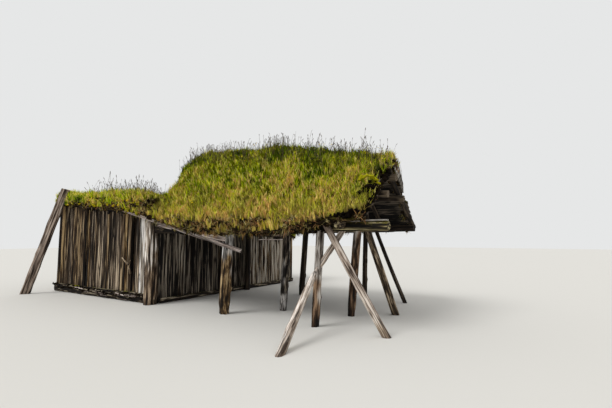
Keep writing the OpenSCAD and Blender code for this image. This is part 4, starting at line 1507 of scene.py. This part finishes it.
@dataclass
class Sward:
    """Grass, or another small growth, scattered over part of the turf.

    Tufts are how many are scattered, and blades how many a tuft has. Lean is in radians, out says
    how far tufts turn from upright to the face's normal, and patchy how much taller they are
    in one place than in another. Rear and ceiling are what no blade passes.
    """

    name: str
    chosen: Callable[[Vector, Vector], bool]
    finish: Growth
    tufts: int
    height: float = 0.17
    spread: float = 0.026
    blades: int = 7
    width: float = 0.017
    droop: float = 0.45
    lean: float = 0.3
    out: float = 0.18
    hang: bool = False
    patchy: float = 1.3
    patches_a_metre: float = 2.2
    sizes: tuple[float, float] = (0.65, 1.2)
    rear: float = 6.38
    ceiling: float = 4.21
    bend: float = 0.06
    seed: int = 1
    kinds: int = 5
    series: int = 100

    def build(self, site: Site, coat: Piece) -> None:
        """Models tufts, scatters them over the chosen faces and settles them.

        Args:
            site: The frame.
            coat: The turf that they grow on.
        """
        bed = twin(coat, f"{self.name}_bed")
        bed.parent = None
        put(bed, Matrix.Translation(-site.origin))
        with editing(bed, Select.POLYGONS, lambda face: not self.chosen(face.center, face.normal)):
            bpy.ops.mesh.delete(type="FACE")
        tufts = []
        for number in range(self.kinds):
            parts = self._parts(random.Random(self.series * self.seed + number), number)
            tufts.append(joined(parts, f"{self.name}_tuft_{number}"))
        self._scatter(bed, tufts)
        remove(*tufts)
        shape(bed, self._kept_in)
        bed.name = bed.data.name = self.name
        site.settle(bed, self.finish.material())

    def _kept_in(self, place: Vector) -> Vector:
        """Bends what would reach above the tallest growth seen on the roof, or far past the rear eave."""
        for axis, limit in ((1, self.rear), (2, self.ceiling)):
            over = place[axis] - limit + self.bend
            if over > 0:
                place[axis] = limit - self.bend * math.exp(-over / self.bend)
        return place

    def _parts(self, draw: random.Random, number: int) -> list[Piece]:
        """Models the bent, pointed blades of one tuft, with its root at the origin.

        Args:
            draw: The tuft's own draws.
            number: Tells one kind of tuft from the next.

        Returns:
            The blades.
        """
        return [self._blade(draw) for _ in range(self.blades)]

    def _foot(self, draw: random.Random) -> Vector:
        """Draws where in its tuft a blade or stem stands."""
        return Vector((draw.uniform(-1, 1), draw.uniform(-1, 1), 0)) * self.spread

    def _blade(self, draw: random.Random) -> Piece:
        """Models one blade: a strip whose upper edge is drawn to a point."""
        tall = self.height * draw.uniform(0.5, 1.2)
        wide = self.width * draw.uniform(0.7, 1.2)
        blade = primitive(bpy.ops.mesh.primitive_plane_add, size=1)
        with editing(blade, Select.VERTICES, lambda vertex: vertex.co.y > 0):
            bpy.ops.mesh.extrude_region_move(TRANSFORM_OT_translate={"value": (0, 1, 0)})
            bpy.ops.mesh.merge(type="CENTER")
        turn = draw.uniform(0, math.tau)
        foot = self._foot(draw)
        droop = self.droop * draw.uniform(0.3, 1.3)
        down = -1 if self.hang else 1
        hue = draw.random()

        def grown(place: Vector) -> Vector:
            """Gives a vertex of the strip its place on the blade."""
            share = (place.y + 0.5) / 2
            out = tall * droop * share * share
            side = place.x * wide * (1 - 0.3 * share)
            return foot + Vector((
                out * math.cos(turn) - side * math.sin(turn),
                out * math.sin(turn) + side * math.cos(turn),
                down * tall * share * (1 - 0.25 * droop * share),
            ))

        write_layer(blade, "tip", lambda place: (place.y + 0.5) / 2)
        write_layer(blade, "hue", lambda place: hue)
        shape(blade, grown)
        return blade

    def _scatter(self, bed: Piece, tufts: Sequence[Piece]) -> None:
        """Replaces the bed by copies of the tufts that stand on its faces.

        Args:
            bed: The chosen faces, which become the copies.
            tufts: The modelled tufts.
        """
        density = self.tufts / sum(face.area for face in bed.data.polygons)
        tree = bpy.data.node_groups.new(f"scatter_{bed.name}", "GeometryNodeTree")
        for way in ("INPUT", "OUTPUT"):
            tree.interface.new_socket("Geometry", in_out=way, socket_type="NodeSocketGeometry")
        entry = add_node(tree, "NodeGroupInput")
        spacing = {"Mesh": entry, "Density": density, "Seed": self.seed}
        spread = add_node(tree, "GeometryNodeDistributePointsOnFaces", spacing)
        gathered = add_node(tree, "GeometryNodeJoinGeometry")
        for tuft in tufts:
            whole = {"Object": tuft, "As Instance": True}
            held = add_node(tree, "GeometryNodeObjectInfo", whole, out="Geometry")
            tree.links.new(held, gathered.node.inputs[0])
        least, most = (-self.lean, -self.lean, 0.0), (self.lean, self.lean, math.tau)
        turns = {"Min": least, "Max": most, "Seed": self.seed + 1}
        turned = add_node(tree, "FunctionNodeRandomValue", turns, data_type="FLOAT_VECTOR")
        out = 0.0 if self.hang else self.out
        tipped = {"Rotation": turned, "Factor": out, "Vector": spread.node.outputs["Normal"]}
        facing = add_node(tree, "FunctionNodeAlignRotationToVector", tipped, axis="Z")
        place = add_node(tree, "GeometryNodeInputPosition")
        waves = {"Vector": place, "Scale": self.patches_a_metre, "Detail": 2.0}
        patch = add_node(tree, "ShaderNodeTexNoise", waves)
        draws = {2: self.sizes[0], 3: self.sizes[1], "Seed": self.seed + 2}
        drawn = add_node(tree, "FunctionNodeRandomValue", draws, out=1, data_type="FLOAT")
        uneven = (patch, self.patchy, 1 - self.patchy / 2)
        taller = add_node(tree, "ShaderNodeMath", uneven, operation="MULTIPLY_ADD")
        sized = add_node(tree, "ShaderNodeMath", (drawn, taller), operation="MULTIPLY")
        copies = {
            "Points": spread, "Instance": gathered, "Pick Instance": True, "Rotation": facing, "Scale": sized,
        }
        placed = add_node(tree, "GeometryNodeInstanceOnPoints", copies)
        draws = {2: 0.0, 3: 1.0, "Seed": self.seed + 3}
        own = add_node(tree, "FunctionNodeRandomValue", draws, out=1, data_type="FLOAT")
        marked = add_node(
            tree, "GeometryNodeStoreNamedAttribute", {"Geometry": placed, "Name": "tuft", "Value": own},
            data_type="FLOAT", domain="INSTANCE",
        )
        real = add_node(tree, "GeometryNodeRealizeInstances", {"Geometry": marked})
        add_node(tree, "NodeGroupOutput", (real,), out=None)
        finish_modifier(bed, "NODES", node_group=tree)


@dataclass
class SeedStalks(Sward):
    """Thin dry stems with loose seed heads that stand above the grass."""

    head: float = 0.06
    head_width: float = 0.014
    tip_width: float = 2 * MM
    series: int = 300

    def _parts(self, draw: random.Random, number: int) -> list[Piece]:
        """Models the stems, each of two crossed strips."""
        stems = []
        for _ in range(self.blades):
            turn, tall = draw.uniform(0, math.tau), self.height * draw.uniform(0.6, 1.25)
            foot = self._foot(draw)
            bend = self.droop * draw.uniform(0.1, 1.0)
            for quarter in (0, 90):
                stems.append(self._stem(foot, turn + math.radians(quarter), turn, tall, bend, draw.random()))
        return stems

    def _stem(self, foot: Vector, face: float, turn: float, tall: float, bend: float, hue: float) -> Piece:
        """Models a strip that is thin as a stem below and swells to the seed head above.

        Args:
            foot: Where it stands.
            face: Which way the strip faces.
            turn: Which way it bends.
            tall: Its height.
            bend: How far it bends, as a share of its height.
            hue: What tells its colour from the next.

        Returns:
            The strip.
        """
        strip = primitive(bpy.ops.mesh.primitive_plane_add, size=1)
        cut_rows(strip, (1, 4))
        neck = 1 - self.head / tall
        heights = (0, 0.5, neck, neck + (1 - neck) * 0.3, neck + (1 - neck) * 0.65, 1)
        stem, head = self.width, self.head_width
        widths = (stem, stem * 0.8, stem * 0.7, head, head * 0.8, self.tip_width)

        def grown(place: Vector) -> Vector:
            """Gives a vertex of the strip its place on the stalk."""
            level = round((place.y + 0.5) * 5)
            share = heights[level]
            out = tall * bend * share * share
            side = place.x * widths[level]
            return foot + Vector((
                out * math.cos(turn) + side * math.cos(face),
                out * math.sin(turn) + side * math.sin(face),
                tall * share * (1 - 0.2 * bend * share),
            ))

        write_layer(strip, "tip", lambda place: place.y + 0.5)
        write_layer(strip, "hue", lambda place: hue)
        shape(strip, grown)
        return strip


@dataclass
class Flowers(Sward):
    """Small open flowers on short stems at the height of the grass."""

    petal: float = 0.021
    petals: int = 5
    notch: float = 0.3
    series: int = 500

    def _parts(self, draw: random.Random, number: int) -> list[Piece]:
        """Models one cupped flower."""
        circle = bpy.ops.mesh.primitive_circle_add
        flower = primitive(circle, vertices=2 * self.petals, radius=self.petal, fill_type="TRIFAN")
        tall = self.height * draw.uniform(0.8, 1.15)
        hue = draw.random()

        def opened(place: Vector) -> Vector:
            """Gives a vertex of the disc its place on the flower."""
            around = math.atan2(place.y, place.x)
            reach = math.hypot(place.x, place.y) / self.petal
            lobe = 1 - self.notch * (0.5 + 0.5 * math.cos(self.petals * around))
            return Vector((place.x * lobe, place.y * lobe, tall + 0.5 * self.petal * reach))

        write_layer(flower, "tip", lambda place: place.length / self.petal)
        write_layer(flower, "hue", lambda place: hue)
        shape(flower, opened)
        return [flower]


@dataclass
class Cushions(Sward):
    """Lumpy cushions of moss, or clods that hang in dead roots."""

    def _parts(self, draw: random.Random, number: int) -> list[Piece]:
        """Models one flattened, lumpy ball."""
        return [lump(self.width * (0.6 + 0.25 * number), self.height / self.width, number)]


# The studio


@dataclass
class Studio:
    """A pale floor under soft light, seen from where the photograph was taken."""

    camera_place: Point = (3.652, -6.138, 1.6)
    view_turn: float = 32.11
    view_rise: float = 5.05
    lens: float = 22.65
    sensor: float = 36.0
    farthest: float = 500.0
    floor_size: float = 120.0
    floor_colour: str = "#d8d6d0"
    sky_colour: str = "#e6e7e7"
    sky_light: float = 0.76
    sun_power: float = 1.5
    sun_spread: float = 28.0
    sun_turn: tuple[float, float, float] = (42.0, 0.0, -28.0)

    def build(self, site: Site) -> None:
        """Sets up the camera, the floor, the sky and the lamp.

        Args:
            site: The frame.
        """
        scene = bpy.context.scene
        data = bpy.data.cameras.new("camera")
        data.lens = self.lens
        data.sensor_width = self.sensor
        data.clip_end = self.farthest
        camera = bpy.data.objects.new("camera", data)
        camera.location = site.origin + Vector(self.camera_place)
        camera.rotation_euler = (math.radians(90 + self.view_rise), 0, math.radians(self.view_turn))
        scene.collection.objects.link(camera)
        scene.camera = camera
        self._floor()
        self._sky(scene)
        lamp = bpy.data.lights.new("overcast_sun", "SUN")
        lamp.energy = self.sun_power
        lamp.angle = math.radians(self.sun_spread)
        sun = bpy.data.objects.new("overcast_sun", lamp)
        sun.rotation_euler = tuple(math.radians(angle) for angle in self.sun_turn)
        scene.collection.objects.link(sun)
        scene.view_settings.view_transform = "Standard"

    def _floor(self) -> None:
        """Lays the plain floor."""
        floor = primitive(bpy.ops.mesh.primitive_plane_add, "studio_floor", size=self.floor_size)
        material, _, shader = new_material("matt_floor", 0.95, 0.25)
        shader.inputs["Base Color"].default_value = linear(self.floor_colour)
        floor.data.materials.append(material)

    def _sky(self, scene: bpy.types.Scene) -> None:
        """Lights the scene evenly and shows a pale ground behind it."""
        world = bpy.data.worlds.new("sky")
        world.use_nodes = True
        tree = world.node_tree
        path = add_node(tree, "LightPath", out="Is Camera Ray")
        light = add_node(tree, "Background", {"Color": (1, 1, 1, 1), "Strength": self.sky_light})
        seen = add_node(tree, "Background", {"Color": linear(self.sky_colour), "Strength": 1.0})
        both = add_node(tree, "MixShader", (path, light, seen))
        tree.links.new(both, tree.nodes["World Output"].inputs[0])
        scene.world = world


# The house and the porch


@dataclass
class House:
    """The low house: its walls, sills, corner post, leaning corner beam, scraps and roof boards."""

    left: float = -9.25
    right: float = -4.5
    depth: float = 5.9
    wall: float = 0.11
    face: float = -0.06
    post_gap: float = 0.16
    sill_front: float = 0.24
    sill_low: float = 0.13
    sill_width: float = 0.2
    sill_gap: float = 0.06
    slits: tuple[float, ...] = (1.62, 3.79)
    bleached_from: float = 4.1
    # Past open_from the porch side's slabs are paler: partly bleached, partly painted light
    open_from: float = 3.55
    open_silver: tuple[float, float] = (0.35, 0.65)
    fork: Point = (-5.468, -0.14, 0.914)
    splinters: int = 9
    splinter_run: tuple[float, float] = (-8.0, -5.2)

    def build(self, site: Site) -> None:
        """Builds every part of the house below its turf.

        Args:
            site: The frame.
        """
        self._walls(site)
        self._sills(site)
        Log(
            "corner_post_log", (-4.6, -0.09, 0), (-4.71, -0.04, 2.0), CORNER_BIRCH, Slot.PALE_LOG,
            ("corner_post",), widths=(0.33, 0.3), bare_from=0.54, grooves=0.09, lumps=0.09,
            knots=((0.42, -80), (0.62, -70), (0.25, -100)), rotten=0.3, stands=True, seed=21,
        ).build(site)
        Timber(
            "corner_prop_beam", (-9.18, -0.9, 0), (-8.64, -0.21, 3.06), PINK_BEAM, Slot.GREY_LOG,
            ("corner_prop",), width=0.17, thickness=0.23, wear=14 * MM, sway=14 * MM, bare=0.9,
            stands=True, below=0.3, seed=22,
        ).build(site)
        self._scraps(site)
        site.dress(("house_poles",), SHADED_SPRUCE.material(Grain.ALONG_Y))
        RoofBoards("house_roof_deals", "house_boards", (-0.15, 6.02), (-9.6, -4.2), 31).build(site)

    def _scraps(self, site: Site) -> None:
        """Fixes the board ends under the turf's edge, a forked branch and the sill's pale splinters."""
        boards = (
            ("eave_board_short", (-5.72, -0.18, 2.375), (-4.38, -0.16, 2.005), 0.03, 0.075),
            ("eave_board_curled", (-4.27, -0.225, 1.9), (-3.74, -0.235, 1.81), 0.018, 0.05),
            ("eave_board_wedge", (-2.74, -0.2, 1.68), (-2.06, -0.205, 1.57), 0.022, 0.105),
            ("open_wall_board", (-4.46, 3.85, 1.55), (-4.46, 5.3, 1.54), 0.05, 0.03),
        )
        for seed, (name, start, end, width, thickness) in enumerate(boards, 94):
            Timber(
                name, start, end, PINK_DEAL, Slot.SAWN, width=width, thickness=thickness, wear=3 * MM,
                sway=12 * MM, ends=50 * MM, bare=1.0, seed=seed,
            ).build(site)
        arms = (
            ("stem", (-5.43, -0.1, 0.69), self.fork, 0.05),
            ("left", self.fork, (-5.7, -0.165, 1.09), 0.045),
            ("right", self.fork, (-5.34, -0.17, 1.03), 0.035),
        )
        for name, start, end, width in arms:
            Log(
                f"branch_{name}", start, end, BROWN_POLE, Slot.GREY_LOG, widths=(width, 0.7 * width), rings=5,
                bare_from=0.0, seed=97,
            ).build(site)
        draw = random.Random(98)
        for number in range(self.splinters):
            x, z, long = draw.uniform(*self.splinter_run), draw.uniform(0.05, 0.2), draw.uniform(0.2, 0.5)
            end = (x + long, -0.17, z - draw.uniform(0, 0.04))
            Timber(
                f"sill_splinter_{number + 1}", (x, -0.168, z), end, PINK_DEAL, Slot.SILL, width=0.02,
                thickness=draw.uniform(0.015, 0.035), cuts=8, wear=3 * MM, sway=6 * MM, ends=60 * MM,
                bare=1.0, seed=99 + number,
            ).build(site)

    def _walls(self, site: Site) -> None:
        """Stands the four slab walls."""
        long, side = self.right - self.left, self.depth - 2 * self.wall - self.face
        in_front = {"slits": self.slits, "silver_from": self.bleached_from}
        inside = {"rise": 0.0, "silver_from": self.open_from, "silver": self.open_silver}
        rows = (
            ("front", self.left, self.face, 0, long - self.post_gap, self.sill_front, SPLIT_SLAB, in_front),
            ("porch_side", self.right, self.wall + self.face, 90, side, self.sill_low, SHADED_SLAB, inside),
            ("back", self.right, self.depth, 180, long, self.sill_low, SPLIT_SLAB, {}),
            ("left", self.left, self.depth - self.wall, -90, side, self.sill_low, SPLIT_SLAB, {}),
        )
        for seed, (name, x, y, turn, length, low, finish, own) in enumerate(rows, 40):
            wall = SlabWall(f"slabs_{name}", f"wall_{name}", (x, y), turn, length, low, finish, seed, **own)
            wall.build(site)

    def _sills(self, site: Site) -> None:
        """Lays the four sill timbers."""
        front, low, half = self.sill_front, self.sill_low, self.wall / 2
        outer = self.sill_width / 2
        inner = self.depth - self.wall - outer
        rows = (
            ("front", (self.left, half + self.face), (self.right - self.sill_gap, half + self.face), front),
            ("back", (self.left, self.depth - half), (self.right, self.depth - half), low),
            ("porch_side", (self.right - half, outer), (self.right - half, inner), low),
            ("left", (self.left + half, outer), (self.left + half, inner), low),
        )
        for seed, (name, start, end, high) in enumerate(rows, 50):
            Timber(
                f"sill_timber_{name}", (*start, high / 2), (*end, high / 2), ROTTEN_SILL, Slot.SILL,
                (f"sill_{name}",), width=self.sill_width, thickness=high, cuts=36, wear=12 * MM, sway=10 * MM,
                bare=0.7, seed=seed,
            ).build(site)


@dataclass
class Porch:
    """The open porch: posts, plates, ties, props and roof boards.

    A tie is given by its name, its place along the front and how far it runs aside a metre.
    """

    depth: float = 3.2
    front_z: float = 1.8
    rear_z: float = 1.84
    plate: float = 0.17
    front_ends: tuple[float, float] = (-4.56, 1.42)
    rear_ends: tuple[float, float] = (-4.48, 0.9)
    turf_end: float = 0.83
    seat: float = 0.035
    tie: float = 0.15
    tie_lift: float = 0.04
    tie_past: float = 0.125
    gable_past: tuple[float, float] = (0.33, 0.23)
    ties: tuple[tuple[str, float, float], ...] = (
        ("gable", 0.573, -0.222), ("mid", -1.25, -0.07), ("inner", -2.9, 0.0), ("house", -4.25, 0.0),
    )
    lap: float = 0.014
    past: float = 0.05

    def tie_x(self, number: int, y: float) -> float:
        """Gives a tie beam's place along the front at a depth."""
        return self.ties[number][1] + self.ties[number][2] * y

    def tie_z(self, y: float) -> float:
        """Gives the height of the tie beams' axes at a depth."""
        return blend(self.front_z, self.rear_z, y / self.depth) + self.tie_lift

    def build(self, site: Site) -> None:
        """Builds every part of the porch below its turf.

        Args:
            site: The frame.
        """
        self._posts(site)
        self._beams(site)
        self._props(site)
        self._small_timber(site)
        upright = SHADED_SPRUCE.material(Grain.UPRIGHT)
        site.dress([f"king_{name}" for name, _, _ in self.ties], upright)
        site.dress(("struts_front", "struts_rear"), upright)
        site.dress(("rafters_front",), SHADED_SPRUCE.material(Grain.UP_FRONT_SLOPE))
        site.dress(("rafters_rear",), SHADED_SPRUCE.material(Grain.UP_REAR_SLOPE))
        reach = (-4.6, 1.3)
        RoofBoards("porch_deals_front", "porch_boards_front", (-0.3, 1.6), reach, 32).build(site)
        rear = RoofBoards("porch_deals_rear", "porch_boards_rear", (1.6, 3.6), reach, 33, ragged=(-0.06, 0.1))
        rear.build(site)
        Weathered("barge_board_worn", "barge_board", BARGE_DEAL, Slot.SAWN, 32.0).build(site)

    def _posts(self, site: Site) -> None:
        """Stands the seven porch posts."""
        front, rear = (z - self.plate / 2 + self.seat for z in (self.front_z, self.rear_z))
        mid_left, mid_gable = (
            (self.tie_x(number, y), y, self.tie_z(y) - self.tie / 2 + self.seat)
            for number, y in ((1, 0.98), (0, 1.23))
        )
        rows = (
            ("front_right", (0, 0), (0.115, 0, front), (0.16, 0.146), SHELTERED_POST, 0.45),
            ("front_left", (-2.26, 0), (-2.16, 0, front), (0.24, 0.218), BARKED_SPRUCE, 0.72),
            ("mid_left", (-1.41, 0.98), mid_left, (0.175, 0.16), STRIPPED_SPRUCE, 1.4),
            ("mid_gable", (0.13, 1.23), mid_gable, (0.175, 0.16), SHELTERED_POST, 0.9),
            ("rear_left", (-2.36, 3.2), (-2.21, 3.2, rear), (0.168, 0.153), SHADED_SPRUCE, 0.5),
            ("rear_right", (-0.43, 3.2), (-0.37, 3.2, rear), (0.135, 0.123), SHADED_SPRUCE, 0.5),
            ("rear_wall", (-4.37, 3.2), (-4.35, 3.2, rear), (0.168, 0.153), SHADED_SPRUCE, 0.5),
        )
        for seed, (name, foot, head, widths, finish, bare_from) in enumerate(rows, 61):
            Log(
                f"log_{name}", (*foot, 0), head, finish, Slot.BARK_LOG, (f"post_{name}",), widths=widths,
                bare_from=bare_from, bare_foot=0.42 if finish is STRIPPED_SPRUCE else 0.0, bow=(0.012, 0.01),
                knots=((0.35, -60), (0.6, -120)), rotten=0.25, stands=True, seed=seed,
            ).build(site)

    def _beams(self, site: Site) -> None:
        """Lays the plates, tie beams, ridge and purlins."""
        plates = (
            ("plate_front", self.front_ends, 0, self.front_z, MOSSY_SPRUCE, 34),
            ("plate_rear", self.rear_ends, self.depth, self.rear_z, SHADED_SPRUCE, 30),
        )
        rows = [(name, (left, y, z), (right, y, z), self.plate, finish, rings)
                for name, (left, right), y, z, finish, rings in plates]
        for number, (name, _, _) in enumerate(self.ties):
            past = (self.tie_past, self.tie_past) if number else self.gable_past
            start, end = (
                (self.tie_x(number, y), y, self.tie_z(y)) for y in (-past[0], self.depth + past[1])
            )
            rows.append((f"tie_{name}", start, end, self.tie, SHADED_SPRUCE if number else MOSSY_SPRUCE, 22))
        for seed, (name, start, end, width, finish, rings) in enumerate(rows, 70):
            Log(
                f"log_{name}", start, end, finish, Slot.MOSSY_LOG, (name,), widths=(width, width * 0.96),
                rings=rings, bare_from=0.1, lumps=0.05, seed=seed,
                dark_to=self.turf_end if name == "plate_front" else 0.0,
            ).build(site)
        lengthwise = (("ridge_log", 0.16), ("purlin_front", 0.142), ("purlin_rear", 0.142))
        for seed, (name, width) in enumerate(lengthwise, 78):
            low, high = (corner - site.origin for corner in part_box(name))
            middle, half = (low.y + high.y) / 2, width / 2
            Log(
                f"long_{name}", (low.x, middle, high.z - half), (high.x, middle, low.z + half), SHADED_SPRUCE,
                Slot.DARK_LOG, (name,), widths=(width, width * 0.97), rings=30, bare_from=0.1, lumps=0.04,
                end_tone=0.75, seed=seed,
            ).build(site)

    def _props(self, site: Site) -> None:
        """Leans the three gable props and the loose log."""
        rows = (
            ("gable_front", (1.37, -0.04, 0),
             (0.33, -(self.plate + 0.132) / 2 + self.lap, self.front_z), 0.132, GREYED_POLE, Slot.PALE_LOG),
            ("gable_mid", (0.87, 1.83, 0),
             (self.tie_x(0, 1.48) + (self.tie + 0.15) / 2 - self.lap, 1.48, self.tie_z(1.48)), 0.15,
             BROWN_POLE, Slot.GREY_LOG),
            ("gable_rear", (0.57, 3.39, 0),
             (-0.15, self.depth + (self.plate + 0.1) / 2 - self.lap, self.rear_z), 0.1,
             BLACK_POLE, Slot.DARK_LOG),
            ("leaning", (0.45, -1.7, 0), (0.085, -0.108, 1.04), 0.135, PEELED_POLE, Slot.PALE_LOG),
        )
        for seed, (name, foot, head, width, finish, slot) in enumerate(rows, 80):
            run = (Vector(head) - Vector(foot)).normalized()
            end = tuple(Vector(head) + run * self.past)
            Log(
                f"pole_{name}", foot, end, finish, slot, (f"prop_{name}",), widths=(width, width * 0.92),
                bare_from=0.05, bow=(0.015, -0.01), grooves=0.08, pointed=0.4 if name == "leaning" else 0.0,
                knots=((0.3, 30), (0.7, 200)), stands=True, seed=seed,
            ).build(site)

    def _small_timber(self, site: Site) -> None:
        """Fixes the knee brace, the loose plank along the eave and the thin one on the plate."""
        Timber(
            "knee_brace_split", (0.095, 0, 1.09), (0.64, 0, 1.82), PEELED_POLE, Slot.GREY_LOG,
            ("knee_brace",), width=0.095, thickness=0.06, turn=90, wear=6 * MM, seed=91,
        ).build(site)
        Timber(
            "eave_plank_sawn", (-5.7, -0.214, 2.332), (-1.7, -0.126, 1.337), PINK_DEAL, Slot.SAWN,
            ("eave_plank",), width=0.028, thickness=0.08, cuts=40, wear=1.5 * MM, sway=3 * MM,
            bare=1.0, seed=92,
        ).build(site)
        Timber(
            "plate_plank", (0.5, 0.0, 1.895), (1.39, -0.01, 1.9), SAWN_GREY, Slot.SAWN, width=0.15,
            thickness=0.022, cuts=20, sway=5 * MM, bare=1.0, seed=93,
        ).build(site)


@dataclass
class RoofGrowth:
    """The turf and all that grows on it or crumbles from it."""

    turf: Turf = field(default_factory=Turf)
    porch_end: float = -4.48
    heap: float = 0.9
    near_to: float = 2.6
    porch_rear: float = 3.9
    bare_verge: tuple[float, float] = (0.72, 1.9)
    windy_from: float = -7.3

    def build(self, site: Site) -> None:
        """Builds the turf and the grass on it.

        Args:
            site: The frame.
        """
        coat = self.turf.build(site)
        ridge, rear = self.turf.ridge, self.porch_rear
        growths = (
            Sward(
                "grass_porch_front",
                lambda p, n: n.z > 0.25 and self._high(p) and p.y < ridge and not self._hollow(p),
                GRASS, 8200, seed=1,
            ),
            Sward(
                "grass_porch_rear",
                lambda p, n: n.z > 0.25 and self._high(p) and ridge <= p.y < rear and self._turfed(p),
                GRASS, 5200, seed=2,
            ),
            Sward(
                "grass_house_front", lambda p, n: n.z > 0.3 and not self._high(p) and self._near(p),
                LOW_GRASS, 8200, height=0.19, seed=3,
            ),
            Sward(
                "grass_house_back",
                lambda p, n: n.z > 0.3 and (p.y >= rear or not self._high(p) and not self._near(p)),
                LOW_GRASS, 6600, seed=4,
            ),
            Sward(
                "eave_tufts", lambda p, n: -0.3 < n.z < 0.45 and self._at_edge(p), DRY_GRASS, 1700,
                height=0.11, width=0.011, droop=0.9, out=0.6, patchy=1.0, seed=5,
            ),
            Sward(
                "eave_fringe", lambda p, n: -0.6 < n.z < 0.2 and self._at_edge(p), DRY_GRASS, 1300,
                height=0.14, width=0.011, droop=0.5, hang=True, patchy=1.2, seed=6,
            ),
            Cushions(
                "eave_clods", lambda p, n: -0.8 < n.z < 0.3 and self._at_edge(p), CLOD, 1100,
                width=0.032, height=0.026, lean=0.8, out=0.5, patchy=1.0, seed=13,
            ),
            SeedStalks(
                "seed_stalks", lambda p, n: n.z > 0.3 and self._windy(p), SEED_STALK, 2000,
                height=0.42, width=0.006, blades=2, spread=0.07, droop=0.4, lean=0.2, out=0.1, seed=7,
            ),
            Flowers(
                "yellow_flowers", lambda p, n: n.z > 0.3 and p.y < 3.0 and p.x < 0.7, PETAL, 430,
                height=0.22, lean=0.6, seed=8,
            ),
            Cushions(
                "eave_moss_cushions", lambda p, n: -0.2 < n.z < 0.7 and p.x < -4.9 and p.y < -0.1, MOSS, 420,
                width=0.034, height=0.022, out=0.6, patchy=1.6, seed=9,
            ),
        )
        for growth in growths:
            growth.build(site, coat)
        self._heaps(site)

    def _heaps(self, site: Site) -> None:
        """Heaps clods, crumbs and moss at the gable, along the eave and verge, and on walls and sill."""
        rows = (
            ("gable_pocket_clods", (0.86, 0.1, 2.3), (0.98, 0.42, 2.58), (0.06, 0.06, 0.08), 40,
             (0.025, 0.055), CLOD, 10),
            ("eave_end_clods", (0.15, -0.37, 1.87), (1.08, -0.3, 2.03), (0.03, 0.04, 0.06), 70,
             (0.022, 0.055), CLOD, 16),
            ("eave_root_clods", (-3.5, -0.13, 1.71), (0.3, -0.13, 1.74), (0.03, 0.03, 0.035), 110,
             (0.018, 0.045), CLOD, 17),
            ("open_wall_crumbs", (-4.43, 3.6, 1.7), (-4.43, 5.3, 1.68), (0.03, 0.02, 0.04), 70,
             (0.02, 0.04), PALE_CLOD, 18),
            ("verge_clods", (1.04, -0.2, 1.99), (0.96, 1.4, 2.98), (0.025, 0.03, 0.035), 64,
             (0.025, 0.06), CLOD, 11),
            ("gable_pocket_moss", (0.86, 0.08, 2.64), (1.07, 0.46, 2.6), (0.02, 0.02, 0.014), 30,
             (0.024, 0.042), BRIGHT_MOSS, 12, 0.09),
            ("sill_crumbs", (-9.2, -0.165, 0.2), (-4.78, -0.165, 0.16), (0.04, 0.02, 0.06), 90,
             (0.015, 0.045), CLOD, 14),
            ("foot_moss", (-7.98, -0.15, 0.235), (-7.62, -0.15, 0.225), (0.03, 0.015, 0.008), 9,
             (0.016, 0.03), MOSS, 15),
        )
        for row in rows:
            Lumps(*row).build(site)

    def _high(self, place: Vector) -> bool:
        """Says whether a place is on the porch's mound or its heaped end, over an uneven line."""
        return place.x + 0.5 * rough(place, 0.5, 23) >= self.porch_end - self.heap

    def _near(self, place: Vector) -> bool:
        """Says whether a place is on the front part of the low roof, over an uneven line."""
        return place.y + 0.9 * rough(place, 0.6, 21) < self.near_to

    def _hollow(self, place: Vector) -> bool:
        """Says whether a place is in the gable edge's hollow or under the eave's end, where nothing grows."""
        under = place.y < -0.15 and place.x > -0.3 and place.z < 1.84 + 0.2 * ease(place.x, -0.2, 1.0)
        return under or (place - Vector(self.turf.pocket)).length < 0.95 * self.turf.pocket_size

    def _turfed(self, place: Vector) -> bool:
        """Says whether a place is off the rear verge, whose turf has slipped away."""
        return place.x < self.bare_verge[0] or place.y < self.bare_verge[1]

    def _windy(self, place: Vector) -> bool:
        """Says whether stalks stand at a place: along the ridge, over the heap and at the low roof's edge."""
        return abs(place.y - self.turf.ridge) < 0.75 or self.windy_from < place.x < self.porch_end - 0.3

    def _at_edge(self, place: Vector) -> bool:
        """Says whether a place is at an eave or verge that still has its turf, not over the rooms."""
        return self._turfed(place) and not (-9.3 <= place.x <= 0.2 and -0.2 <= place.y <= 3.45)


def main() -> None:
    """Builds the dressed house in the frame."""
    logging.basicConfig(level=logging.INFO, format="%(message)s")
    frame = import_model()
    site = Site(frame)
    Studio().build(site)
    for part in (House(), Porch(), RoofGrowth()):
        part.build(site)


if __name__ == "__main__":
    main()
